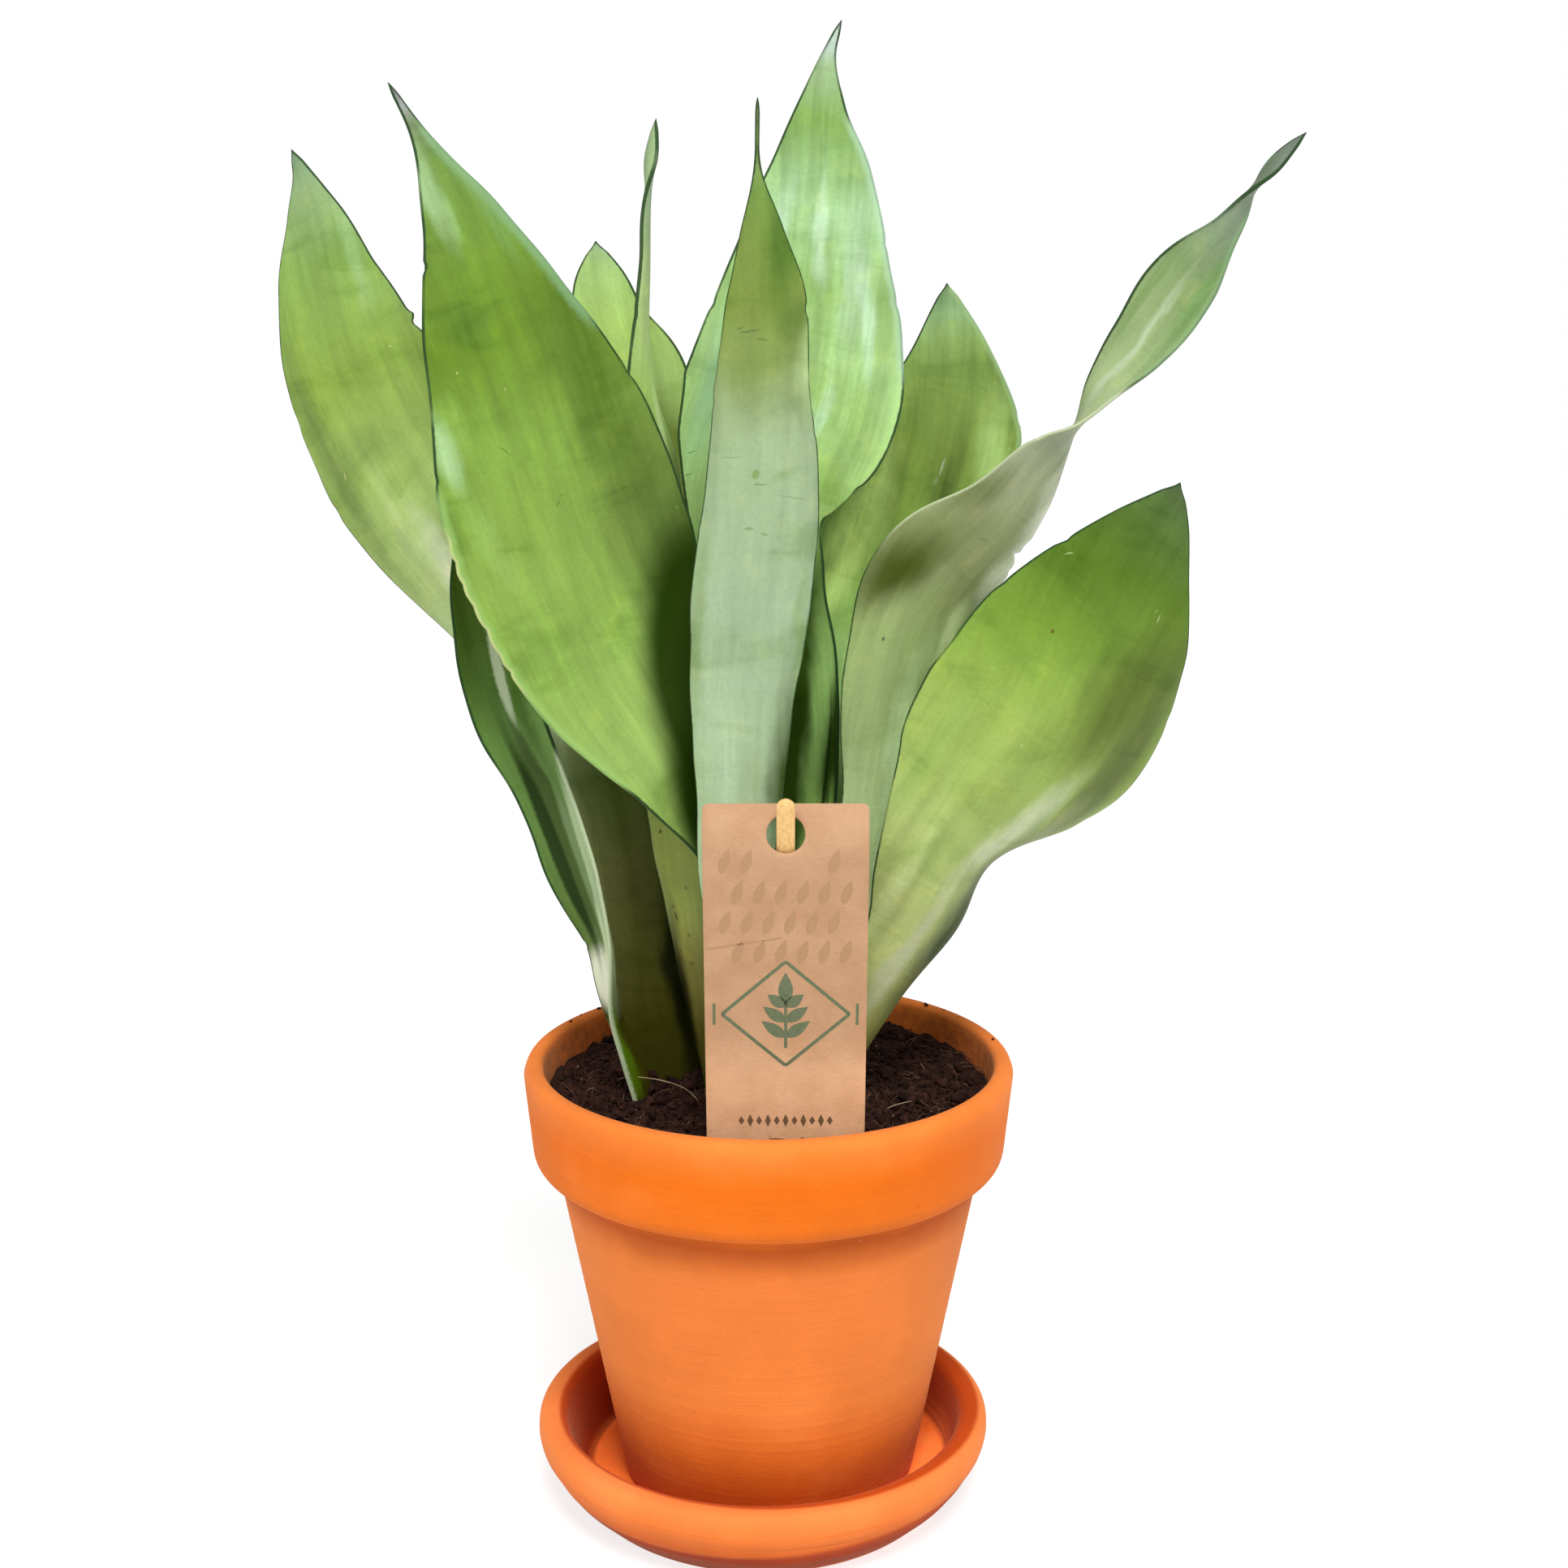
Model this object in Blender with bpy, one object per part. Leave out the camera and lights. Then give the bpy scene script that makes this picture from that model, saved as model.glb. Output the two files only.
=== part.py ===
"""Moonshine snake plant in a terracotta pot on its saucer, with a card label held on a flat stick.

Lengths are in millimetres and turned into metres when a mesh is made. +Z is up and -Y is the front.
The origin is on the saucer's flat underside, straight below the pot's axis.
"""

import math

import bmesh
import bpy
import numpy as np
from mathutils import Vector, noise

MM = 0.001
GAP = 0.3  # clearance between pieces that touch
SHARP_ANGLE = 40.0  # degrees between faces, above which an edge is shaded sharp

# Saucer: turned clay dish, set a little to the left of the pot's axis
SAUCER_SHIFT_X = -1.7
SAUCER_HEIGHT = 24.0
SAUCER_RADIUS = 61.8
SAUCER_RIM_RADIUS = 61.2
SAUCER_MOUTH_RADIUS = 54.2
SAUCER_WELL_RADIUS = 50.2
SAUCER_FOOT_RADIUS = 48.0
SAUCER_FLOOR = 6.7
SAUCER_SHOULDER = (56.8, 8.5)  # radius and height where the underside turns up
SAUCER_BELLY = 17.5  # height of the widest round

# Pot: turned clay, with a tall collar round the rim and a drain hole in the floor
POT_BOTTOM = SAUCER_FLOOR + GAP
POT_TOP = 124.0
POT_RIM_RADIUS = 65.0
POT_RIM_DROP = 3.0  # from the top down to the widest round
POT_MOUTH_RADIUS = 60.0
POT_COLLAR_HEIGHT = 27.0
POT_COLLAR_FOOT_RADIUS = 62.6
POT_COLLAR_TAPER = 3.0  # how far the mouth narrows down to the collar's foot
POT_UNDERCUT = 1.5
POT_SHELF_DROP = 4.0  # inside, from the collar's foot to the top of the body's wall
POT_BODY_TOP_RADIUS = 56.6
POT_FOOT_RADIUS = 39.6
POT_WALL = 5.5
POT_FLOOR = 8.0
POT_DRAIN_RADIUS = 7.0
POT_COLLAR_Z = POT_TOP - POT_COLLAR_HEIGHT
POT_SHELF_Z = POT_COLLAR_Z - POT_SHELF_DROP
POT_FLOOR_Z = POT_BOTTOM + POT_FLOOR
TURNED_SEGMENTS = 52

# Soil: fills the pot to a little below the rim
SOIL_TOP = 114.5  # in the middle
SOIL_RISE = 1.8  # from the middle to the wall
SOIL_BUMP = 1.7
SOIL_CRUMB_SCALES = (0.16, 0.4)  # of the noise, per millimetre
SOIL_RINGS = 9
SOIL_SEGMENTS = 40
# The wall's rings: height, and clearance to the pot, which grows where the pot's corners are rounded
SOIL_WALL = [
    (POT_COLLAR_Z + 4.0, GAP + 0.6),
    (POT_SHELF_Z, GAP + 1.4),
    (POT_FLOOR_Z + GAP, GAP + 4.4),
]
SOIL_EDGE_CLEARANCE = GAP + 0.4

# Card label: leans to the front and bows back at its top, with a round hole that the stick passes through
CARD_WIDTH = 39.4
CARD_THICKNESS = 0.8
CARD_CORNER = 1.5
CARD_CENTRE_X = 4.5
CARD_HOLE_RADIUS = 4.6
CARD_HOLE_SIDES = 24
CARD_HOLE_Z = 197.8
CARD_ROWS = 3  # between one point of the bow and the next
CARD_BOW = [  # y and z up the card
    (-36.0, 100.0),
    (-40.2, 118.0),
    (-45.2, 141.0),
    (-50.0, 164.0),
    (-53.4, 180.0),
    (-55.1, 188.5),
    (-55.8, 194.5),
    (-55.3, 199.5),
    (-53.0, 204.6),
]

# Stick: flat wood with a rounded top, through the card's hole and down into the soil behind it
STICK_WIDTH = 4.4
STICK_THICKNESS = 1.6
STICK_POINT = (0.8, 4.0)  # half width of the blunt foot, and the height over which it widens
STICK_BELOW = 105.0  # length below the card's hole
STICK_ABOVE = 9.6
STICK_LEAN = 19.0  # degrees to the front
SLOT_CLEARANCE = GAP + 0.05  # round the card and the stick in the soil

# Leaf blade
BLADE_EDGE = 0.8  # thickness at the margins
BLADE_MIDDLE = 1.9  # thickness on the midrib, halfway up
BLADE_FOOT = 2.9  # thickness on the midrib at the foot
BLADE_FOOT_SHARE = 0.45  # of the leaf's length, over which the foot thins to the middle
BLADE_SLOPE = 0.35  # most that the midrib may be thicker than the margin, by half width
BLADE_TIP_HALF_WIDTH = 0.55
WAVE_HEIGHT = 0.9
WAVE_LENGTH = 52.0
WAVE_LAG = 1.9  # radians between one margin's wave and the other's
WAVE_FROM = 12.0  # half width from which the margins wave
WAVE_FULL = 26.0  # half width at which they wave fully
LEAF_STEPS = 2  # rings between one station and the next
LEAF_COLUMNS = 7
LEAF_FOOT_Z = 93.0
LEAF_HOLE_CLEARANCE = GAP + 0.1
LEAF_HOLE_TOP = SOIL_TOP + 8.0

# Each leaf is a row of stations from foot to tip:
# (x, y, z of the midrib, half width of the blade, where the channelled face looks, how far each half curls)
# Where the face looks is an azimuth in degrees: 0 is +X, 90 the back, 270 the front. The curl is in degrees.
LEAVES = {
    "leaf_far_left": [
        (-26.5, 8, LEAF_FOOT_Z, 10, 84, 58),
        (-28.5, 7.5, 113, 11, 82, 56),
        (-31.5, 7, 135, 14, 80, 52),
        (-35, 6.5, 158, 15, 78, 48),
        (-40, 6, 190, 14, 76, 42),
        (-49, 5, 216, 15, 76, 36),
        (-64, 4, 238, 18, 76, 30),
        (-83, 5, 263, 22.5, 76, 25),
        (-97.5, 9, 285, 24, 76, 22),
        (-108.5, 14, 309, 20, 76, 20),
        (-113, 18, 325, 15, 76, 18),
        (-116, 20, 342, 8, 76, 14),
        (-118.5, 21, 352, 2.7, 76, 8),
        (-121, 22, 358, 0.5, 76, 2),
    ],
    "leaf_front_left": [
        (-4, -5, LEAF_FOOT_Z, 7, 272, 56),
        (-4, -6, 113, 7.5, 274, 55),
        (-5, -9, 150, 7, 278, 50),
        (-9.5, -12, 180, 7.5, 284, 42),
        (-21.5, -15, 206, 16, 290, 33),
        (-36, -16, 230, 25, 293, 28),
        (-47.5, -17, 257, 31, 295, 24),
        (-55, -17, 284, 29.5, 295, 22),
        (-64, -16, 312, 21.5, 295, 20),
        (-74, -14, 340, 10, 295, 16),
        (-83.5, -13, 360, 2, 295, 8),
        (-90, -12, 371, 0.5, 295, 2),
    ],
    "leaf_left_channelled": [
        (-29.5, -3.5, LEAF_FOOT_Z, 6.5, 166, 52),
        (-31.5, -4.5, 113, 7.2, 173, 52),
        (-40, -7, 138, 6.5, 195, 50),
        (-42.5, -10, 159, 7, 220, 50),
        (-48, -12, 175, 8, 245, 48),
        (-56.5, -13, 199, 8, 262, 45),
        (-65.5, -13, 221, 10, 268, 42),
        (-69, -12, 238, 10, 268, 38),
        (-72, -10, 256, 7, 268, 30),
        (-72, -8, 273, 3.1, 268, 15),
        (-71, -7, 283, 0.5, 268, 2),
    ],
    "leaf_front_middle": [
        (-6, -15, LEAF_FOOT_Z, 7.5, 90, 58),
        (-6, -18, 113, 8, 90, 58),
        (-6.5, -22, 158, 9.2, 90, 52),
        (-8, -26, 182, 10.6, 90, 46),
        (-7, -28, 199, 11.6, 90, 42),
        (-6, -31, 227, 14, 90, 38),
        (-4, -33, 249, 15.4, 90, 36),
        (-1, -33, 277, 14.4, 90, 34),
        (-1, -33, 304, 11.6, 90, 34),
        (0, -32, 322, 9.6, 90, 32),
        (-1, -31, 337, 5.1, 90, 30),
        (-2, -30, 349, 1.2, 90, 15),
        (-2, -30, 366, 0.4, 90, 2),
    ],
    "leaf_tall": [
        (2, 8, LEAF_FOOT_Z, 7.5, 270, 58),
        (2, 8, 113, 8.3, 270, 58),
        (4.5, 8, 156, 10, 270, 52),
        (6.5, 10, 192, 12.5, 270, 44),
        (4.5, 12, 226, 14.5, 270, 34),
        (-0.5, 14, 250, 15.8, 270, 26),
        (-3, 15, 267, 18.8, 270, 23),
        (0, 16, 280, 25, 270, 22),
        (5.5, 17, 294, 28.5, 270, 20),
        (9, 18, 312, 26, 270, 19),
        (11.5, 19, 332, 20, 270, 18),
        (13, 20, 352, 13.5, 270, 16),
        (13.5, 20, 368, 6.5, 270, 12),
        (15.5, 20, 381, 1.8, 270, 5),
        (18.5, 20, 389, 0.5, 270, 2),
    ],
    "leaf_back_left": [
        (-9, 20, LEAF_FOOT_Z, 6, 270, 58),
        (-9, 22, 115, 6.3, 270, 58),
        (-11, 24, 151, 7, 270, 52),
        (-17, 27, 185, 8.5, 270, 42),
        (-26, 31, 217, 12.2, 270, 32),
        (-33, 35, 250, 15.8, 270, 24),
        (-37, 38, 280, 18.3, 270, 20),
        (-38, 40, 299, 17, 270, 18),
        (-43, 42, 316, 10.4, 270, 16),
        (-45, 43, 328, 6.1, 270, 12),
        (-46, 44, 336, 0.6, 270, 2),
    ],
    "leaf_narrow": [
        (-9, -2, LEAF_FOOT_Z, 7, 92, 58),
        (-10, -3, 113, 8, 92, 58),
        (-14, -5, 149, 11, 92, 52),
        (-20, -5, 190, 12, 95, 42),
        (-25, -1, 222, 11.5, 100, 34),
        (-28, 4, 254, 10.5, 115, 30),
        (-29.5, 9, 284, 10.5, 140, 26),
        (-31.5, 14, 306, 7.7, 165, 22),
        (-31, 18, 329, 6, 176, 16),
        (-30.5, 20, 347, 3.5, 181, 12),
        (-29.5, 21, 356, 3, 215, 8),
        (-28.3, 22, 365.5, 0.6, 215, 2),
    ],
    "leaf_back_right": [
        (16, 12, LEAF_FOOT_Z, 6.5, 266, 58),
        (17, 12, 113, 7, 265, 58),
        (19, 13, 155, 7.5, 262, 52),
        (23, 15, 190, 8, 260, 46),
        (29.5, 20, 222, 14.5, 258, 36),
        (36.8, 26, 251, 23.8, 256, 28),
        (43.5, 29, 272, 24.5, 256, 24),
        (47.5, 32, 293, 19, 256, 20),
        (48, 34, 308, 10.5, 256, 18),
        (47.5, 36, 318, 5, 256, 12),
        (47, 36, 325, 0.6, 256, 2),
    ],
    "leaf_twisted": [
        (15, 0, LEAF_FOOT_Z, 7, 100, 58),
        (16, -1, 113, 7.5, 100, 58),
        (21.5, -5, 158, 7.5, 100, 50),
        (26.5, -8, 195, 8, 98, 40),
        (31, -11, 226, 12.5, 98, 32),
        (41.5, -13, 252, 16.5, 100, 26),
        (59.5, -14, 270.5, 10.5, 108, 20),
        (67.5, -15, 281.5, 8, 128, 15),
        (76.5, -16, 292, 4.5, 180, 10),
        (81.5, -17, 300, 5, 230, 14),
        (89, -18, 309.5, 7.5, 262, 18),
        (100.5, -19, 326.5, 8.5, 270, 20),
        (109.5, -20, 337.5, 3.7, 276, 16),
        (115, -20, 346, 2.8, 350, 8),
        (120.5, -20, 352.5, 2.2, 400, 6),
        (127, -20, 359, 0.5, 410, 2),
    ],
    "leaf_front_right": [
        (10, -13, LEAF_FOOT_Z, 6.5, 112, 58),
        (14, -15, 113, 7.3, 113, 58),
        (19.5, -16.5, 127, 7, 116, 56),
        (28.5, -19, 145, 9.5, 121, 46),
        (39.5, -22, 165, 16, 124, 42),
        (48.5, -25, 183, 24.5, 132, 50),
        (60, -27, 200, 33, 119, 37),
        (71, -29, 219, 35, 110, 29),
        (79.5, -30, 240, 28.5, 104, 24),
        (88, -31, 258, 17, 100, 18),
        (94.5, -31, 270, 7.8, 100, 8),
        (98.5, -31, 278, 0.6, 100, 2),
    ],
}

# Linear colours of the pieces, read by eye from the photograph
CLAY_COLOUR = (0.80, 0.28, 0.08)
PEAT_COLOUR = (0.035, 0.018, 0.012)
KRAFT_COLOUR = (0.50, 0.32, 0.19)
WOOD_COLOUR = (0.72, 0.46, 0.20)
LEAF_COLOURS = {
    "leaf_far_left": (0.31, 0.42, 0.15),
    "leaf_front_left": (0.19, 0.33, 0.07),
    "leaf_left_channelled": (0.09, 0.15, 0.06),
    "leaf_front_middle": (0.26, 0.37, 0.22),
    "leaf_tall": (0.30, 0.52, 0.22),
    "leaf_back_left": (0.32, 0.44, 0.12),
    "leaf_narrow": (0.27, 0.38, 0.15),
    "leaf_back_right": (0.17, 0.30, 0.10),
    "leaf_twisted": (0.29, 0.36, 0.21),
    "leaf_front_right": (0.26, 0.42, 0.10),
}


def clear_scene():
    for obj in list(bpy.data.objects):
        bpy.data.objects.remove(obj)


def plain_material(name, colour, roughness):
    """A Principled material of one colour."""
    material = bpy.data.materials.new(name)
    material.use_nodes = True
    shader = material.node_tree.nodes["Principled BSDF"]
    shader.inputs["Base Color"].default_value = (*colour, 1.0)
    shader.inputs["Roughness"].default_value = roughness
    shader.inputs["Metallic"].default_value = 0.0
    material.diffuse_color = (*colour, 1.0)
    return material


def mesh_object(name, points_mm, faces, material, place_mm=(0.0, 0.0, 0.0), lean=0.0):
    """A mesh object from points in millimetres, placed by its location and leaning to the front."""
    mesh = bpy.data.meshes.new(name)
    mesh.from_pydata([Vector(p) * MM for p in points_mm], [], faces)
    bm = bmesh.new()
    bm.from_mesh(mesh)
    bmesh.ops.recalc_face_normals(bm, faces=bm.faces)
    bm.to_mesh(mesh)
    bm.free()
    mesh.shade_smooth()
    mesh.set_sharp_from_angle(angle=math.radians(SHARP_ANGLE))
    mesh.materials.append(material)
    obj = bpy.data.objects.new(name, mesh)
    obj.location = Vector(place_mm) * MM
    obj.rotation_euler = (math.radians(lean), 0.0, 0.0)
    bpy.context.scene.collection.objects.link(obj)
    return obj


def cutter(obj):
    """Marks an object as a cutter, which isn't a piece of the plant."""
    obj.hide_render = True
    obj.display_type = "WIRE"
    return obj


def cut(obj, cutters):
    """Gives obj a live Boolean difference for each cutter."""
    for tool in cutters:
        modifier = obj.modifiers.new("cut_" + tool.name, "BOOLEAN")
        modifier.operation = "DIFFERENCE"
        modifier.solver = "EXACT"
        modifier.object = tool


def fillet(profile, steps=2):
    """A closed (radius, z) outline from corners (radius, z, rounding), each rounded by its own distance."""
    rounded = []
    count = len(profile)
    for i, (radius, z, rounding) in enumerate(profile):
        corner = Vector((radius, z))
        if not rounding:
            rounded.append(corner)
            continue
        before, after = Vector(profile[i - 1][:2]), Vector(profile[(i + 1) % count][:2])
        start = corner + (before - corner).normalized() * rounding
        end = corner + (after - corner).normalized() * rounding
        for k in range(steps + 1):
            s = k / steps
            rounded.append(start * (1 - s) ** 2 + corner * 2 * s * (1 - s) + end * s**2)
    return rounded


def ring_points(radius, count):
    """Evenly spaced (x, y) points on a circle."""
    turns = [2 * math.pi * k / count for k in range(count)]
    return [(radius * math.cos(a), radius * math.sin(a)) for a in turns]


def joined_rings(low, high, count):
    """Triangles between two rings of vertex numbers, either of which may be a single pole vertex."""
    faces = []
    for k in range(count):
        n = (k + 1) % count
        if len(low) == 1:
            faces.append((low[0], high[k], high[n]))
        elif len(high) == 1:
            faces.append((low[k], high[0], low[n]))
        else:
            faces += [(low[k], high[k], high[n]), (low[k], high[n], low[n])]
    return faces


def turned(name, outline, material, place_mm=(0.0, 0.0, 0.0)):
    """A solid turned round the vertical axis. An outline that ends at radius 0 closes there in a pole."""
    points, rings = [], []
    for radius, z in outline:
        ring = [(x, y, z) for x, y in ring_points(radius, TURNED_SEGMENTS)] if radius else [(0.0, 0.0, z)]
        rings.append(range(len(points), len(points) + len(ring)))
        points += ring
    if len(rings[0]) > 1:
        rings.append(rings[0])
    faces = []
    for low, high in zip(rings, rings[1:]):
        faces += joined_rings(low, high, TURNED_SEGMENTS)
    return mesh_object(name, points, faces, material, place_mm)


def make_saucer(material):
    outline = [
        (0.0, 0.0, 0),
        (SAUCER_FOOT_RADIUS, 0.0, 2.0),
        (*SAUCER_SHOULDER, 4.0),
        (SAUCER_RADIUS, SAUCER_BELLY, 3.0),
        (SAUCER_RIM_RADIUS, SAUCER_HEIGHT, 3.2),
        (SAUCER_MOUTH_RADIUS, SAUCER_HEIGHT, 3.2),
        (SAUCER_WELL_RADIUS, SAUCER_FLOOR, 4.5),
        (0.0, SAUCER_FLOOR, 0),
    ]
    turned("saucer", fillet(outline), material, (SAUCER_SHIFT_X, 0.0, 0.0))


def pot_inner_radius(z):
    """Radius of the pot's inner wall: one taper in the collar and another in the body below it."""
    if z > POT_COLLAR_Z:
        return POT_MOUTH_RADIUS - POT_COLLAR_TAPER * (POT_TOP - z) / POT_COLLAR_HEIGHT
    share = (POT_COLLAR_Z - z) / (POT_COLLAR_Z - POT_BOTTOM)
    return POT_BODY_TOP_RADIUS + (POT_FOOT_RADIUS - POT_BODY_TOP_RADIUS) * share - POT_WALL


def make_pot(material):
    outline = [
        (POT_DRAIN_RADIUS, POT_BOTTOM, 0.6),
        (POT_FOOT_RADIUS, POT_BOTTOM, 1.5),
        (POT_BODY_TOP_RADIUS, POT_COLLAR_Z - POT_UNDERCUT, 1.2),
        (POT_COLLAR_FOOT_RADIUS, POT_COLLAR_Z, 4.0),
        (POT_RIM_RADIUS, POT_TOP - POT_RIM_DROP, 0),
        (POT_RIM_RADIUS - 1.0, POT_TOP, 1.9),
        (POT_MOUTH_RADIUS, POT_TOP, 1.9),
        (POT_MOUTH_RADIUS - POT_COLLAR_TAPER, POT_COLLAR_Z, 3.0),
        (pot_inner_radius(POT_SHELF_Z), POT_SHELF_Z, 3.0),
        (pot_inner_radius(POT_FLOOR_Z), POT_FLOOR_Z, 4.0),
        (POT_DRAIN_RADIUS, POT_FLOOR_Z, 0.6),
    ]
    turned("pot", fillet(outline), material)


def soil_height(x, y):
    """The soil's surface: a shallow dish with crumbs."""
    far = math.hypot(x, y) / POT_MOUTH_RADIUS
    coarse, fine = SOIL_CRUMB_SCALES
    crumbs = noise.noise(Vector((x, y, 4.0)) * coarse) + 0.5 * noise.noise(Vector((x, y, 9.0)) * fine)
    return SOIL_TOP + SOIL_RISE * far**2 + SOIL_BUMP * crumbs


def make_soil(material):
    """The soil down to the pot's floor, as rings on the top, a wall and a flat bottom."""
    edge = pot_inner_radius(SOIL_TOP) - SOIL_EDGE_CLEARANCE
    layers = [[(0.0, 0.0, soil_height(0.0, 0.0))]]
    for ring in range(1, SOIL_RINGS + 1):
        circle = ring_points(edge * ring / SOIL_RINGS, SOIL_SEGMENTS)
        layers.append([(x, y, soil_height(x, y)) for x, y in circle])
    for z, clearance in SOIL_WALL:
        circle = ring_points(pot_inner_radius(z) - clearance, SOIL_SEGMENTS)
        layers.append([(x, y, z) for x, y in circle])
    layers.append([(0.0, 0.0, POT_FLOOR_Z + GAP)])
    points, rings, faces = [], [], []
    for layer in layers:
        rings.append(range(len(points), len(points) + len(layer)))
        points += layer
    for low, high in zip(rings, rings[1:]):
        faces += joined_rings(low, high, SOIL_SEGMENTS)
    return mesh_object("soil", points, faces, material)


def smooth(knots, values, at):
    """Values at the knots joined by a smooth curve, read at the places given."""
    h = np.diff(knots)[:, None]
    slope = np.diff(values, axis=0) / h
    middle = (slope[1:] * h[:-1] + slope[:-1] * h[1:]) / (h[:-1] + h[1:])
    lean = np.concatenate([slope[:1], middle, slope[-1:]])
    i = np.clip(np.searchsorted(knots, at, side="right") - 1, 0, len(h) - 1)
    t = (at - knots[i])[:, None] / h[i]
    start, end = values[i], values[i + 1]
    bend = lean[i] * (t - 2 * t**2 + t**3) + lean[i + 1] * (t**3 - t**2)
    return start + (end - start) * (3 * t**2 - 2 * t**3) + h[i] * bend


def smooth_path(stations, steps):
    """Rows of stations, whose first columns are a path in mm, with smooth rows added between them.

    Returns each row's distance along the path, and the rows.
    """
    table = np.array(stations, float)
    path = table[:, : min(3, table.shape[1])]
    chords = np.linalg.norm(np.diff(path, axis=0), axis=1)
    knots = np.concatenate([[0.0], np.cumsum(chords)])
    at = np.interp(np.arange(steps * len(chords) + 1) / steps, np.arange(len(knots)), knots)
    return at, smooth(knots, table, at)


def unit(vectors):
    """Rows of vectors scaled to length 1."""
    return vectors / np.linalg.norm(vectors, axis=-1, keepdims=True)


def blade_thickness(share, half, u):
    """Thickness at a share of the leaf's length and a place u, which is -1 and 1 at the margins."""
    thinning = np.clip(1 - share / BLADE_FOOT_SHARE, 0, 1) ** 1.5
    rib = BLADE_MIDDLE + (BLADE_FOOT - BLADE_MIDDLE) * thinning
    rib = np.minimum(rib, BLADE_EDGE + BLADE_SLOPE * half)
    return BLADE_EDGE + (rib - BLADE_EDGE) * (1 - np.abs(u) ** 1.6)


def margin_wave(at, half, u, phase):
    """How far the blade is pushed along its normal: nothing on the midrib, a gentle wave at broad margins."""
    broad = np.clip((half - WAVE_FROM) / (WAVE_FULL - WAVE_FROM), 0, 1)
    turn = 2 * math.pi * at / WAVE_LENGTH + phase + WAVE_LAG * np.sign(u)
    return WAVE_HEIGHT * broad * np.abs(u) ** 3 * np.sin(turn)


def leaf_sections(stations, grow=0.0):
    """The blade's two faces as arrays of points in mm, [along, column, xyz], channelled face first.

    Each section is an arc round the midrib. grow widens and thickens the blade all round, for the hole
    that the leaf stands in.
    """
    at, rows = smooth_path(stations, LEAF_STEPS)
    middle = rows[:, :3]
    half = (np.maximum(rows[:, 3], BLADE_TIP_HALF_WIDTH) + grow)[:, None]
    face = np.radians(rows[:, 4])
    curl = np.radians(np.maximum(rows[:, 5], 0.5))[:, None]
    tangent = unit(np.gradient(middle, at, axis=0))
    looks = np.stack([np.cos(face), np.sin(face), np.zeros(len(at))], axis=1)
    looks = unit(looks - tangent * (looks * tangent).sum(axis=1)[:, None])
    across = np.cross(tangent, looks)[:, None, :]
    looks = looks[:, None, :]
    u = np.linspace(-1, 1, LEAF_COLUMNS)
    radius = (half / curl)[:, :, None]
    angle = (curl * u)[:, :, None]
    normal = looks * np.cos(angle) - across * np.sin(angle)
    surface = middle[:, None, :] + across * radius * np.sin(angle) + looks * radius * (1 - np.cos(angle))
    surface = surface + normal * margin_wave(at[:, None], half, u, stations[0][0])[:, :, None]
    thickness = blade_thickness((at / at[-1])[:, None], half, u)
    offset = normal * (thickness[:, :, None] / 2 + grow)
    return surface + offset, surface - offset


def blade_mesh(front, back):
    """Points and triangles of the closed blade between its two faces, split alike on both."""
    along, columns = front.shape[:2]
    points = np.concatenate([front.reshape(-1, 3), back.reshape(-1, 3)])
    other = along * columns
    faces = []
    for i in range(along - 1):
        for j in range(columns - 1):
            a, b = i * columns + j, i * columns + j + 1
            c, d = a + columns, b + columns
            faces += [(a, b, d), (a, d, c)]
            faces += [(other + a, other + d, other + b), (other + a, other + c, other + d)]
        for j in (0, columns - 1):
            a, c = i * columns + j, (i + 1) * columns + j
            faces += [(a, c, other + c), (a, other + c, other + a)]
    for i in (0, along - 1):
        for j in range(columns - 1):
            a, b = i * columns + j, i * columns + j + 1
            faces += [(a, b, other + b), (a, other + b, other + a)]
    return points, faces


def make_leaf(name, stations, material):
    """The leaf, with its object's origin at its foot."""
    foot = stations[0][:3]
    points, faces = blade_mesh(*leaf_sections(stations))
    return mesh_object(name, points - foot, faces, material, foot)


def leaf_hole(name, stations, material):
    """A cutter for the hole that a leaf's foot stands in: the foot's own shape with clearance all round."""
    front, back = leaf_sections(stations, LEAF_HOLE_CLEARANCE)
    keep = int(np.argmax(front[:, :, 2].min(axis=1) > LEAF_HOLE_TOP)) + 1
    front, back = front[:keep].copy(), back[:keep].copy()
    front[0, :, 2] -= LEAF_HOLE_CLEARANCE
    back[0, :, 2] -= LEAF_HOLE_CLEARANCE
    return cutter(mesh_object("hole_" + name, *blade_mesh(front, back), material))


def prism(name, outline, half_depth, material, place_mm, lean=0.0):
    """A flat outline of (x, height) made solid to both sides, standing on a place and leaning forward."""
    points = [(x, -half_depth, h) for x, h in outline] + [(x, half_depth, h) for x, h in outline]
    count = len(outline)
    faces = [tuple(range(count)), tuple(range(2 * count - 1, count - 1, -1))]
    faces += [(k, k + count, (k + 1) % count + count, (k + 1) % count) for k in range(count)]
    return mesh_object(name, points, faces, material, place_mm, lean)


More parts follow.
